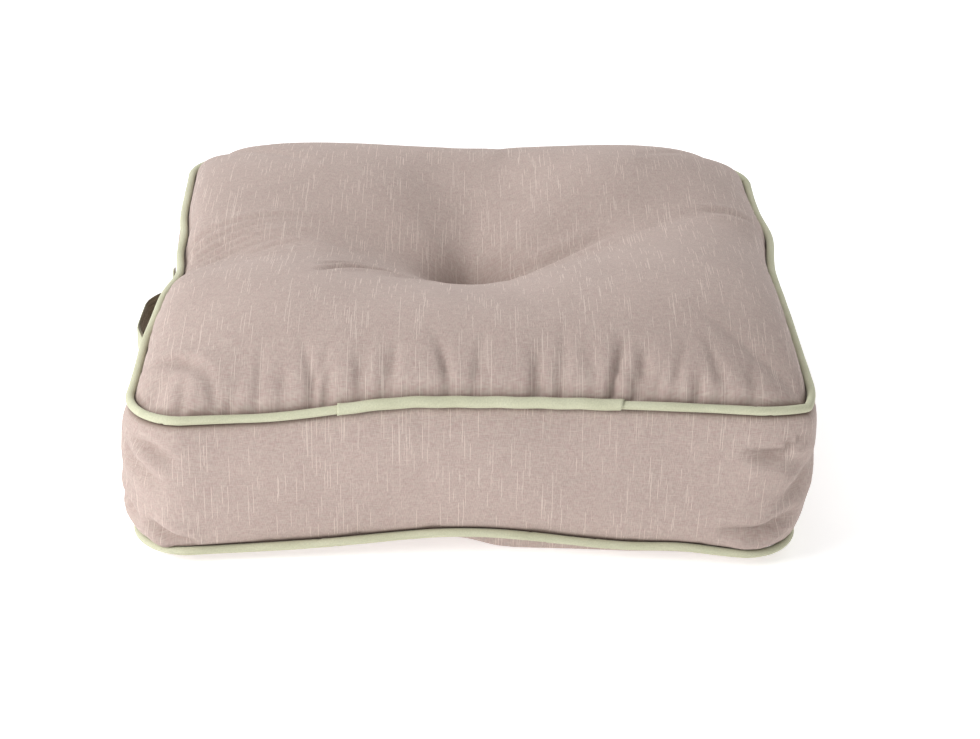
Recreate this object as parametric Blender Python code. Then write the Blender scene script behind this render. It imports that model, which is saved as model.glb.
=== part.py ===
"""Square boxed floor cushion with piped edges, one centre tuft and a webbing side handle.

The cover is a top panel, a bottom panel and a side band, with a corded piping in both edge seams.
The back of the band holds a zip. Inside are an inner case and its fibre filling, and a twine with a
covered button at each end pulls the middle of the cushion in.

Metres, +Z up, the floor at z = 0, the front facing -Y and the handle on the -X side.
"""

import math

import bmesh
import bpy
from mathutils import Matrix, Vector

# ---- driving dimensions -------------------------------------------------------------------------

GAP = 0.0003                     # between pieces that touch

HALF_WIDTH = 0.250               # from the middle to the piping, at a corner
CORNER_RADIUS = 0.041
SIDE_PULL = {"front": 0.011, "right": 0.004, "back": 0.0, "left": 0.010}

TOP_SEAM_CORNERS = (0.119, 0.127, 0.127, 0.127)      # front left, front right, back right, back left
TOP_SEAM_LIFT = {"front": 0.007, "right": 0.003, "back": 0.0, "left": 0.009}
BOTTOM_SEAM_CORNERS = (0.010, 0.010, 0.010, 0.010)
BOTTOM_SEAM_LIFT = {"front": 0.008, "right": 0.002, "back": 0.0, "left": 0.002}
TOP_SEAM_MEAN = 0.126
BAND_BULGE = 0.005               # how far the filled band stands out past the piping's middle

FABRIC = 0.0010                  # cover fabric
CASE_FABRIC = 0.0006             # inner case fabric
CASE_EASE = 0.0015               # between cover and inner case
FILLING_EASE = 0.0005            # between inner case and filling

PIPING_RADIUS = 0.0040
CORD_SCALE = 0.90                # cord radius over the piping cover's inner radius
SEAM_ALLOWANCE = 0.012
LIP_LENGTH = 0.011               # how far the panels and the band run into the seam
SLEEVE_FROM_X, SLEEVE_TO_X = -0.095, 0.111
SLEEVE_CLOTH = 0.0007
SLEEVE_STEPS = 8

CROWN_RISE = 0.052               # top of the lobes over the top seam
CROWN_EDGE_RISE = 0.010          # panel height over the seam, one EDGE_INSET in from it
CROWN_POWER = 3.0
EDGE_INSET = 0.015
VALLEY_SHARE = 0.16              # how much lower the middles of the sides lie than the lobes
TUFT_DEPTH = 0.064
TUFT_SPREAD = 0.075
FLAT_SHARE = 0.80                # part of the bottom panel that lies flat on the floor
BOTTOM_RECESS_DEPTH = 0.012
BOTTOM_RECESS_RADIUS = 0.046
BUTTON_SEAT = 0.015              # radius that each button presses flat
PANEL_STEPS = (0.0065, 0.068, 0.16, 0.28, 0.46, 0.72, 1.0)

BUTTON_RADIUS = 0.0125
BUTTON_CAP_HEIGHT = 0.0040
BUTTON_BACK_HEIGHT = 0.0015
BUTTON_BACK_RADIUS = 0.0090
TWINE_RADIUS = 0.0008
TWINE_EYE_RADIUS = 0.0013

HANDLE_CENTRE_Y = -0.030
HANDLE_HALF_SPAN = 0.075         # from the handle's middle to where it leaves the band
HANDLE_END = 0.022               # length sewn flat to the band
HANDLE_LEG = 0.038               # length that bends out from the band
HANDLE_BOW = 0.0175
HANDLE_HEIGHT = 0.085            # middle of the webbing over the floor
WEBBING_WIDTH = 0.030
WEBBING_THICKNESS = 0.0014
FACING_WIDTH = 0.027
FACING_THICKNESS = 0.0010

ZIP_HEIGHT = 0.068
ZIP_HALF_LENGTH = 0.184
ZIP_MOUTH = 0.0035               # half the gap between the two band halves
TOOTH_ROW = (0.0004, 0.0029)     # from the zip's middle line to the row's two sides
TOOTH_DEPTH = 0.0018
TAPE_TO = 0.014
TAPE_THICKNESS = 0.0006
SLIDER_HALF_LENGTH = 0.005
SLIDER_HALF_WIDTH = 0.004
SLIDER_PLATE = 0.0012
SLIDER_REST_X = 0.1785
BAIL_HALF_LENGTH = 0.0032
BAIL_HALF_WIDTH = 0.0007
BAIL_BAR = 0.0010
BAIL_OPENING = 0.0020
PULL_BAR = 0.0010
PULL_HALF_WIDTH = 0.0026
PULL_LENGTH = 0.022
PULL_EYE_TO = 0.0040
PULL_EYE_HALF_WIDTH = 0.0019

SIDE_SEGMENTS = 5
CORNER_SEGMENTS = 3

HANDLE_REACH = HALF_WIDTH - SIDE_PULL["left"] + BAND_BULGE + GAP * 2 + HANDLE_BOW
HANDLE_REACH += WEBBING_THICKNESS + FACING_THICKNESS
CENTRE_X = (HANDLE_REACH - HALF_WIDTH - BAND_BULGE) / 2       # the box's middle stands at x = 0

SIDES = ("front", "right", "back", "left")
OUTWARD = {"front": (0, -1), "right": (1, 0), "back": (0, 1), "left": (-1, 0)}

# ---- materials ----------------------------------------------------------------------------------

MATERIALS = {
    "linen": ((0.56, 0.44, 0.39), 0.90, 0.0),
    "sage_cotton": ((0.68, 0.69, 0.56), 0.85, 0.0),
    "brown_webbing": ((0.075, 0.055, 0.035), 0.80, 0.0),
    "cotton_cord": ((0.80, 0.78, 0.72), 0.90, 0.0),
    "case_cotton": ((0.82, 0.80, 0.76), 0.90, 0.0),
    "fibre": ((0.90, 0.90, 0.88), 0.95, 0.0),
    "zip_tape": ((0.50, 0.40, 0.36), 0.85, 0.0),
    "zip_nylon": ((0.45, 0.36, 0.32), 0.45, 0.0),
    "zip_metal": ((0.55, 0.54, 0.52), 0.35, 1.0),
    "button_shell": ((0.70, 0.70, 0.70), 0.50, 0.0),
    "twine": ((0.62, 0.55, 0.44), 0.90, 0.0),
}


def material(name):
    """The Principled material of this name, made the first time it is asked for."""
    found = bpy.data.materials.get(name)
    if found:
        return found
    colour, roughness, metallic = MATERIALS[name]
    made = bpy.data.materials.new(name)
    made.use_nodes = True
    shader = made.node_tree.nodes["Principled BSDF"]
    shader.inputs["Base Color"].default_value = (*colour, 1.0)
    shader.inputs["Roughness"].default_value = roughness
    shader.inputs["Metallic"].default_value = metallic
    return made


# ---- scene helpers ------------------------------------------------------------------------------


def clear_scene():
    for thing in list(bpy.data.objects):
        bpy.data.objects.remove(thing)


def add_empty(name, location, parent=None):
    empty = bpy.data.objects.new(name, None)
    empty.location = location
    empty.parent = parent
    bpy.context.collection.objects.link(empty)
    return empty


def add_object(name, mesh, slot, parent, location=(0, 0, 0), smooth=True):
    thing = bpy.data.objects.new(name, mesh)
    thing.data.materials.append(material(slot))
    thing.parent = parent
    thing.location = location
    if smooth:
        mesh.shade_smooth()
        mesh.set_sharp_from_angle(angle=math.radians(40))
    bpy.context.collection.objects.link(thing)
    return thing


def outward_mesh(name, points, faces):
    """A closed mesh from points and faces, turned so that its faces point out."""
    mesh = bpy.data.meshes.new(name)
    mesh.from_pydata([tuple(point) for point in points], [], faces)
    shape = bmesh.new()
    shape.from_mesh(mesh)
    bmesh.ops.recalc_face_normals(shape, faces=shape.faces)
    if shape.calc_volume(signed=True) < 0:
        bmesh.ops.reverse_faces(shape, faces=shape.faces)
    shape.to_mesh(mesh)
    shape.free()
    return mesh


def block_mesh(name, low, high):
    """A box between two opposite corners."""
    size = Vector(high) - Vector(low)
    middle = (Vector(high) + Vector(low)) / 2
    mesh = bpy.data.meshes.new(name)
    shape = bmesh.new()
    place = Matrix.Translation(middle) @ Matrix.Diagonal((*size, 1.0))
    bmesh.ops.create_cube(shape, size=1.0, matrix=place)
    shape.to_mesh(mesh)
    shape.free()
    return mesh


def add_blocks(name, blocks, slot, parent, location=(0, 0, 0)):
    """One object made of boxes that meet, the first united with the others by Booleans."""
    body = add_object(name, block_mesh(name, *blocks[0]), slot, parent, location, smooth=False)
    for number, (low, high) in enumerate(blocks[1:]):
        helper_name = f"{name}_block_{number}"
        helper = bpy.data.objects.new(helper_name, block_mesh(helper_name, low, high))
        helper.parent = parent
        helper.location = location
        helper.hide_render = True
        helper.display_type = "WIRE"
        bpy.context.collection.objects.link(helper)
        union = body.modifiers.new(f"join_{number}", "BOOLEAN")
        union.operation = "UNION"
        union.solver = "EXACT"
        union.object = helper
    return body


# ---- the cushion's outline ----------------------------------------------------------------------


def side_of_outline(side, share):
    """A point on one side, share running -1 to 1 in the outline's own direction."""
    run = HALF_WIDTH - CORNER_RADIUS
    out = Vector(OUTWARD[side])
    along = Vector((-out.y, out.x))
    pull = SIDE_PULL[side] * (1 - share * share)
    return out * (HALF_WIDTH - pull) + along * (run * share)


def seam_height(corners, lift, side_number, share):
    start = corners[side_number]
    end = corners[(side_number + 1) % 4]
    half = (share + 1) / 2
    ease = half * half * (3 - 2 * half)
    return start + (end - start) * ease + lift[SIDES[side_number]] * (1 - share * share)


def make_outline():
    """Stations round the cushion: plan point, outward direction and the two seam heights.

    They start at the front left corner's end and run anticlockwise, seen from above.
    """
    stations = []
    for number, side in enumerate(SIDES):
        for step in range(SIDE_SEGMENTS):
            share = 2 * step / SIDE_SEGMENTS - 1
            plan = side_of_outline(side, share)
            top = seam_height(TOP_SEAM_CORNERS, TOP_SEAM_LIFT, number, share)
            bottom = seam_height(BOTTOM_SEAM_CORNERS, BOTTOM_SEAM_LIFT, number, share)
            stations.append([plan, None, top, bottom])
        out = Vector(OUTWARD[side])
        along = Vector((-out.y, out.x))
        middle = (out + along) * (HALF_WIDTH - CORNER_RADIUS)
        corner = (number + 1) % 4
        for step in range(CORNER_SEGMENTS):
            turn = math.radians(90 * step / CORNER_SEGMENTS)
            plan = middle + (out * math.cos(turn) + along * math.sin(turn)) * CORNER_RADIUS
            stations.append([plan, None, TOP_SEAM_CORNERS[corner], BOTTOM_SEAM_CORNERS[corner]])
    count = len(stations)
    for index, station in enumerate(stations):
        ahead = stations[(index + 1) % count][0]
        behind = stations[index - 1][0]
        tangent = (ahead - behind).normalized()
        station[1] = Vector((tangent.y, -tangent.x))
    for station in stations[BACK_START:BACK_END + 1]:
        station[1] = Vector(OUTWARD["back"])
    return [tuple(station) for station in stations]


BACK_START = 2 * (SIDE_SEGMENTS + CORNER_SEGMENTS)      # first and last station of the straight back
BACK_END = BACK_START + SIDE_SEGMENTS
OUTLINE = make_outline()


def at_station(station, out, height):
    """The 3-D point that lies this far out from the seam line, at this height over the floor."""
    plan, normal, _, _ = station
    place = plan + normal * out
    return Vector((place.x, place.y, height))


def offset_line(line, distance):
    """The line moved sideways by distance, to its left, with mitred corners."""
    moved = []
    for index, point in enumerate(line):
        before = line[max(index - 1, 0)]
        after = line[min(index + 1, len(line) - 1)]
        first = (Vector(point) - Vector(before)) if index else None
        second = (Vector(after) - Vector(point)) if index < len(line) - 1 else None
        normals = [Vector((-run.y, run.x)).normalized() for run in (first, second) if run]
        mitre = sum(normals, Vector((0, 0))).normalized()
        moved.append(tuple(Vector(point) + mitre * (distance / mitre.dot(normals[0]))))
    return moved


# ---- sweeping sections round the outline --------------------------------------------------------


def swept_mesh(name, sections, closed, fold=None):
    """A solid through equal sections, each a closed ring of points.

    A closed sweep joins its last section to its first; an open one gets a cap at each end. Rings
    that run out on one face of a sheet and back on the other turn at fold, where the diagonals
    of their triangles change hands, so that the two faces stay parallel.
    """
    count = len(sections[0])
    points = [point for section in sections for point in section]
    faces = []
    spans = len(sections) if closed else len(sections) - 1
    for span in range(spans):
        here = span * count
        there = ((span + 1) % len(sections)) * count
        for step in range(count):
            after = (step + 1) % count
            corners = (here + step, here + after, there + after, there + step)
            if fold is not None and step >= fold:
                faces.append((corners[0], corners[1], corners[3]))
                faces.append((corners[1], corners[2], corners[3]))
            else:
                faces.append((corners[0], corners[1], corners[2]))
                faces.append((corners[0], corners[2], corners[3]))
    if not closed:
        faces.append(tuple(reversed(range(count))))
        faces.append(tuple(range((len(sections) - 1) * count, len(sections) * count)))
    return outward_mesh(name, points, faces)


# ---- panel heights ------------------------------------------------------------------------------


def inset_plan(station):
    plan, normal, _, _ = station
    return plan - normal * EDGE_INSET


def top_height(station, step):
    """Outer face of the top panel, step running 0 at the tuft to 1 at the inset edge."""
    place = inset_plan(station) * step
    seam = TOP_SEAM_MEAN + (station[2] - TOP_SEAM_MEAN) * step
    angle = math.atan2(place.y, place.x)
    lobe = 1 - VALLEY_SHARE * math.cos(2 * angle) ** 2 * (1 - step ** CROWN_POWER)
    rise = CROWN_EDGE_RISE + (CROWN_RISE - CROWN_EDGE_RISE) * (1 - step ** CROWN_POWER)
    away = max(0.0, place.length - BUTTON_SEAT)
    tuft = TUFT_DEPTH * math.exp(-(away / TUFT_SPREAD) ** 2)
    return seam + rise * lobe - tuft


def bottom_height(station, step):
    """Outer face of the bottom panel: flat on the floor, up to the seam, hollow at the tuft."""
    place = inset_plan(station) * step
    edge = max(0.0, (step - FLAT_SHARE) / (1 - FLAT_SHARE))
    lift = (station[3] - PIPING_RADIUS * 1.4) * edge * edge
    away = max(0.0, place.length - BUTTON_SEAT)
    near = min(1.0, away / (BOTTOM_RECESS_RADIUS - BUTTON_SEAT))
    recess = BOTTOM_RECESS_DEPTH * (1 - near * near) ** 2
    return lift + recess


# ---- seam sections ------------------------------------------------------------------------------

SLOPE = math.sqrt(0.5)


def seam_point(along, across, upward):
    """A point of the seam, from the piping's middle: along the allowance and across it.

    The allowance runs inwards at 45 degrees, down from the top seam and up from the bottom one.
    across is positive towards the panel. Returns (out, height) from the piping's middle.
    """
    out = -(along + across) * SLOPE
    height = (across - along) * SLOPE * upward
    return (out, height)


FLANGE_SIDE = GAP / 2 + FABRIC
LIP_SIDE = FLANGE_SIDE + GAP
WRAP = PIPING_RADIUS + GAP * 2


def panel_edge(upward):
    """Outer face of a panel from just inside the seam down into it, as (out, height) pairs."""
    return [
        (-WRAP - 0.0036, 0.0048 * upward),
        (-WRAP, 0.0),
        seam_point(WRAP - 0.0002, LIP_SIDE, upward),
        seam_point(LIP_LENGTH, LIP_SIDE, upward),
    ]


def band_edge(upward):
    """Outer face of the band at a seam, from inside the seam out to the band's face."""
    return [
        seam_point(LIP_LENGTH, -LIP_SIDE, upward),
        seam_point(WRAP - 0.0002, -LIP_SIDE, upward),
        (0.0003, -(WRAP + 0.0001) * upward),
        (0.0026, -0.0100 * upward),
    ]


def absolute(line, seam):
    return [(out, seam + height) for out, height in line]


def panel_sections(height_of, upward, seam_index):
    """Sections of a cover panel: hole, crown, seam lip, and back along the inner face."""
    sections = []
    for station in OUTLINE:
        outer = []
        inner = []
        for step in PANEL_STEPS:
            place = inset_plan(station) * step
            height = height_of(station, step)
            outer.append(Vector((place.x, place.y, height)))
            inner.append(Vector((place.x, place.y, height - FABRIC * upward)))
        start = (-EDGE_INSET, height_of(station, 1.0))
        line = [start] + absolute(panel_edge(upward), station[seam_index])
        under = offset_line(line, -FABRIC * upward)
        outer += [at_station(station, out, height) for out, height in line[1:]]
        inner += [at_station(station, out, height) for out, height in under[1:]]
        sections.append(outer + inner[::-1])
    return sections, len(PANEL_STEPS) + len(panel_edge(upward)) - 1


def case_line(station, upward, height_of):
    """Outer face of half the inner case, from the inset edge to the middle of the band."""
    seam = station[2] if upward > 0 else station[3]
    middle = (station[2] + station[3]) / 2
    start = height_of(station, 1.0) - (FABRIC + CASE_EASE) * upward
    edge = [
        (-0.0128, 0.0010),
        (-0.0122, -0.0055),
        (-0.0067, -0.0127),
        (-0.0012, -0.0190),
    ]
    line = [(-EDGE_INSET, start)]
    line += [(out, seam + height * upward) for out, height in edge]
    line += [(BAND_BULGE - 0.0035, middle + GAP / 2 * upward)]
    return line


def case_sections(height_of, upward):
    sections = []
    for station in OUTLINE:
        outer = []
        inner = []
        for step in PANEL_STEPS:
            place = inset_plan(station) * step
            height = height_of(station, step) - (FABRIC + CASE_EASE) * upward
            outer.append(Vector((place.x, place.y, height)))
            inner.append(Vector((place.x, place.y, height - CASE_FABRIC * upward)))
        line = case_line(station, upward, height_of)
        under = offset_line(line, -CASE_FABRIC * upward)
        under[-1] = (under[-1][0], line[-1][1])
        outer += [at_station(station, out, height) for out, height in line[1:]]
        inner += [at_station(station, out, height) for out, height in under[1:]]
        sections.append(outer + inner[::-1])
    return sections, len(PANEL_STEPS) + 4


def filling_sections():
    """Sections of the filling: top face out to the band, then the bottom face back."""
    depth = FABRIC + CASE_EASE + CASE_FABRIC + FILLING_EASE
    sections = []
    for station in OUTLINE:
        halves = []
        for upward, height_of in ((1, top_height), (-1, bottom_height)):
            half = []
            for step in PANEL_STEPS:
                place = inset_plan(station) * step
                half.append(Vector((place.x, place.y, height_of(station, step) - depth * upward)))
            line = case_line(station, upward, height_of)
            inside = offset_line(line, -(CASE_FABRIC + FILLING_EASE) * upward)
            half += [at_station(station, out, height) for out, height in inside[1:-1]]
            halves.append(half)
        sections.append(halves[0] + halves[1][::-1])
    return sections, len(PANEL_STEPS) + 3


def band_sections(stations, low=None, high=None):
    """Sections of the side band; low or high cuts it off at a height, for the two zip halves."""
    sections = []
    for station in stations:
        _, _, top, bottom = station
        faces = []
        if high is None:
            faces += absolute(band_edge(1), top)
        else:
            faces += [(BAND_BULGE, high)]
        if low is None and high is None:
            for share, bulge in ((0.72, 0.90), (0.5, 1.0), (0.28, 0.90)):
                faces += [(BAND_BULGE * bulge, bottom + (top - bottom) * share)]
        else:
            edge = (low or high) + (0.012 if high is None else -0.012)
            faces += [(BAND_BULGE * 0.97, edge)]
        if low is None:
            faces += absolute(band_edge(-1), bottom)[::-1]
        else:
            faces += [(BAND_BULGE, low)]
        under = offset_line(faces, -FABRIC)
        ring = faces + under[::-1]
        sections.append([at_station(station, out, height) for out, height in ring])
    return sections, len(sections[0]) // 2 - 1


# ---- piping -------------------------------------------------------------------------------------

ARC_SEGMENTS = 7


def piping_cover_ring(upward):
    """Section of the piping cover: a loop round the cord and the two plies of its allowance."""
    slit = GAP / 2
    inner_radius = PIPING_RADIUS - FABRIC
    ring = []
    start = math.asin(FLANGE_SIDE / PIPING_RADIUS)
    for step in range(ARC_SEGMENTS + 1):
        turn = start + (2 * math.pi - 2 * start) * step / ARC_SEGMENTS
        ring.append((PIPING_RADIUS * math.cos(turn), PIPING_RADIUS * math.sin(turn)))
    ring.append((SEAM_ALLOWANCE, -FLANGE_SIDE))
    ring.append((SEAM_ALLOWANCE, -slit))
    start = math.asin(slit / inner_radius)
    for step in range(ARC_SEGMENTS + 1):
        turn = start + (2 * math.pi - 2 * start) * (1 - step / ARC_SEGMENTS)
        ring.append((inner_radius * math.cos(turn), inner_radius * math.sin(turn)))
    ring.append((SEAM_ALLOWANCE, slit))
    ring.append((SEAM_ALLOWANCE, FLANGE_SIDE))
    return [seam_point(along, across, upward) for along, across in ring]


def cord_ring(upward):
    """Section of the filler cord, with its flats parallel to the cover's."""
    radius = (PIPING_RADIUS - FABRIC) * CORD_SCALE
    ring = []
    start = math.asin(GAP / 2 / (PIPING_RADIUS - FABRIC))
    for step in range(ARC_SEGMENTS + 1):
        turn = start + (2 * math.pi - 2 * start) * step / ARC_SEGMENTS
        ring.append((radius * math.cos(turn), radius * math.sin(turn)))
    return [seam_point(along, across, upward) for along, across in ring]


def ring_sweep(ring, seam_index):
    return [
        [at_station(station, out, station[seam_index] + height) for out, height in ring]
        for station in OUTLINE
    ]


def station_on_side(number, place):
    """The station at this x (front or back) or y (right or left), on the chord it falls on."""
    first_index = number * (SIDE_SEGMENTS + CORNER_SEGMENTS)
    ring = OUTLINE + OUTLINE[:1]
    side = ring[first_index:first_index + SIDE_SEGMENTS + 1]
    axis = number % 2
    for first, second in zip(side, side[1:]):
        share = (place - first[0][axis]) / (second[0][axis] - first[0][axis])
        if 0 <= share <= 1:
            plan = first[0].lerp(second[0], share)
            normal = first[1].lerp(second[1], share).normalized()
            top = first[2] + (second[2] - first[2]) * share
            bottom = first[3] + (second[3] - first[3]) * share
            return (plan, normal, top, bottom)
    raise ValueError(f"{place} lies past the straight part of the {SIDES[number]} side")


def sleeve_sections():
    """Sections of the joining sleeve, which covers the part of the piping that shows."""
    inner = PIPING_RADIUS + GAP
    outer = inner + SLEEVE_CLOTH
    first, last, count = 150, -72, 7
    turns = [math.radians(first + (last - first) * step / count) for step in range(count + 1)]
    ring = [(outer * math.cos(turn), outer * math.sin(turn)) for turn in turns]
    ring += [(inner * math.cos(turn), inner * math.sin(turn)) for turn in reversed(turns)]
    sections = []
    for step in range(SLEEVE_STEPS + 1):
        x = SLEEVE_FROM_X + (SLEEVE_TO_X - SLEEVE_FROM_X) * step / SLEEVE_STEPS
        station = station_on_side(0, x)
        sections.append([at_station(station, out, station[2] + height) for out, height in ring])
    return sections


# ---- round pieces -------------------------------------------------------------------------------


def turned_mesh(name, profile, segments):
    """A solid turned about Z from a closed profile of (radius, height) pairs."""
    shape = bmesh.new()
    vertices = [shape.verts.new((radius, 0.0, height)) for radius, height in profile]
    edges = []
    for index, vertex in enumerate(vertices[:-1]):
        edges.append(shape.edges.new((vertex, vertices[index + 1])))
    if profile[0][0] > 0:
        edges.append(shape.edges.new((vertices[-1], vertices[0])))
    bmesh.ops.spin(
        shape, geom=vertices + edges, cent=(0, 0, 0), axis=(0, 0, 1),
        angle=2 * math.pi, steps=segments, use_merge=True, use_duplicate=False,
    )
    bmesh.ops.remove_doubles(shape, verts=shape.verts, dist=0.00001)
    bmesh.ops.recalc_face_normals(shape, faces=shape.faces)
    if shape.calc_volume(signed=True) < 0:
        bmesh.ops.reverse_faces(shape, faces=shape.faces)
    mesh = bpy.data.meshes.new(name)
    shape.to_mesh(mesh)
    shape.free()
    return mesh


# ---- the cover ----------------------------------------------------------------------------------


def build_cover(parent):
    for name, height_of, upward, index in (
        ("top_panel", top_height, 1, 2),
        ("bottom_panel", bottom_height, -1, 3),
    ):
        sections, fold = panel_sections(height_of, upward, index)
        add_object(name, swept_mesh(name, sections, True, fold), "linen", parent)

    strip = OUTLINE[BACK_END:] + OUTLINE[:BACK_START + 1]
    sections, fold = band_sections(strip)
    add_object("boxing_strip", swept_mesh("boxing_strip", sections, False, fold), "linen", parent)

    back = [list(station) for station in OUTLINE[BACK_START:BACK_END + 1]]
    back[0][0] = back[0][0] - Vector((GAP, 0))
    back[-1][0] = back[-1][0] + Vector((GAP, 0))
    for name, low, high in (
        ("zip_band_upper", ZIP_HEIGHT + ZIP_MOUTH, None),
        ("zip_band_lower", None, ZIP_HEIGHT - ZIP_MOUTH),
    ):
        sections, fold = band_sections(back, low, high)
        add_object(name, swept_mesh(name, sections, False, fold), "linen", parent)

    for name, upward, index in (("top_piping", 1, 2), ("bottom_piping", -1, 3)):
        cover = ring_sweep(piping_cover_ring(upward), index)
        cord = ring_sweep(cord_ring(upward), index)
        add_object(f"{name}_cover", swept_mesh(name, cover, True), "sage_cotton", parent)
        add_object(f"{name}_cord", swept_mesh(name, cord, True), "cotton_cord", parent)
    sleeve = swept_mesh("top_piping_join", sleeve_sections(), False)
    add_object("top_piping_join", sleeve, "sage_cotton", parent)


# ---- inside -------------------------------------------------------------------------------------


def build_inside(parent):
    for name, height_of, upward in (
        ("inner_case_top", top_height, 1),
        ("inner_case_bottom", bottom_height, -1),
    ):
        sections, fold = case_sections(height_of, upward)
        add_object(name, swept_mesh(name, sections, True, fold), "case_cotton", parent)
    sections, fold = filling_sections()
    add_object("fibre_filling", swept_mesh("fibre_filling", sections, True, fold), "fibre", parent)


def build_tuft(parent):
    """Two covered buttons, each a cap on a back with an eye, and the twine between them."""
    ring = PANEL_STEPS[1]
    seats = {
        "top": (max(top_height(station, ring) for station in OUTLINE) + GAP, 1),
        "bottom": (min(bottom_height(station, ring) for station in OUTLINE) - GAP, -1),
    }
    back_ring = [
        (TWINE_EYE_RADIUS, 0.0),
        (BUTTON_BACK_RADIUS, 0.0),
        (BUTTON_BACK_RADIUS, BUTTON_BACK_HEIGHT),
        (TWINE_EYE_RADIUS, BUTTON_BACK_HEIGHT),
    ]
    dome_steps = 4
    cap_ring = [(0.0, 0.0), (BUTTON_RADIUS * 0.9, 0.0)]
    for step in range(dome_steps):
        turn = math.radians(90 * step / dome_steps)
        cap_ring.append((BUTTON_RADIUS * math.cos(turn), 0.001 + 0.003 * math.sin(turn)))
    cap_ring.append((0.0, BUTTON_CAP_HEIGHT))
    for end, (seat, upward) in seats.items():
        for name, profile, rise, slot, segments in (
            (f"{end}_button_back", back_ring, 0.0, "button_shell", 16),
            (f"{end}_button_cap", cap_ring, BUTTON_BACK_HEIGHT + GAP, "linen", 20),
        ):
            turned = [(radius, (height + rise) * upward) for radius, height in profile]
            mesh = turned_mesh(name, turned, segments)
            add_object(name, mesh, slot, parent, (0, 0, seat))
    low = seats["bottom"][0] - BUTTON_BACK_HEIGHT / 2
    high = seats["top"][0] + BUTTON_BACK_HEIGHT / 2
    twine = [(0.0, 0.0), (TWINE_RADIUS, 0.0), (TWINE_RADIUS, high - low), (0.0, high - low)]
    add_object("tuft_twine", turned_mesh("tuft_twine", twine, 8), "twine", parent, (0, 0, low))


# ---- the handle ---------------------------------------------------------------------------------


def band_face_x(y):
    """How far to the left the band's face stands at y, on the handle's side."""
    return station_on_side(3, y)[0].x - BAND_BULGE


def strap_bow(y):
    """How far the strap stands out from the band at y."""
    inside = HANDLE_HALF_SPAN - abs(y - HANDLE_CENTRE_Y)
    share = min(1.0, max(0.0, inside / (HANDLE_LEG + 0.004)))
    return HANDLE_BOW * share * share * (3 - 2 * share)


def strap_mesh(name, start, end, count, near, far, width):
    """A stretch of strap from y = start to y = end, between two distances off its own line."""
    sections = []
    for step in range(count + 1):
        y = start + (end - start) * step / count
        line = band_face_x(y) - strap_bow(y) - GAP
        low = HANDLE_HEIGHT - width / 2
        high = HANDLE_HEIGHT + width / 2
        sections.append([
            Vector((line - near, y, low)),
            Vector((line - near, y, high)),
            Vector((line - far, y, high)),
            Vector((line - far, y, low)),
        ])
    return swept_mesh(name, sections, False)


def build_handle(parent):
    """Two sewn ends, two legs that bend, and the grip in two plies, which swings."""
    thickness = WEBBING_THICKNESS + GAP + FACING_THICKNESS
    front = HANDLE_CENTRE_Y - HANDLE_HALF_SPAN
    rear = HANDLE_CENTRE_Y + HANDLE_HALF_SPAN
    stretches = (
        ("handle_end_front", front - HANDLE_END, front - GAP, 2),
        ("handle_leg_front", front, front + HANDLE_LEG, 5),
        ("handle_leg_rear", rear - HANDLE_LEG, rear, 5),
        ("handle_end_rear", rear + GAP, rear + HANDLE_END, 2),
    )
    for name, start, end, count in stretches:
        mesh = strap_mesh(name, start, end, count, 0.0, thickness, WEBBING_WIDTH)
        add_object(name, mesh, "sage_cotton", parent, smooth=False)

    axis_place = Vector((band_face_x(HANDLE_CENTRE_Y), HANDLE_CENTRE_Y, HANDLE_HEIGHT))
    axis = add_empty("handle_axis", axis_place, parent)
    start = front + HANDLE_LEG + GAP
    end = rear - HANDLE_LEG - GAP
    for name, near, far, width, slot in (
        ("handle_webbing", 0.0, WEBBING_THICKNESS, WEBBING_WIDTH, "brown_webbing"),
        ("handle_facing", WEBBING_THICKNESS + GAP, thickness, FACING_WIDTH, "sage_cotton"),
    ):
        mesh = strap_mesh(name, start, end, 6, near, far, width)
        mesh.transform(Matrix.Translation(-axis_place))
        add_object(name, mesh, slot, axis, smooth=False)


# ---- the zip ------------------------------------------------------------------------------------


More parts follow.
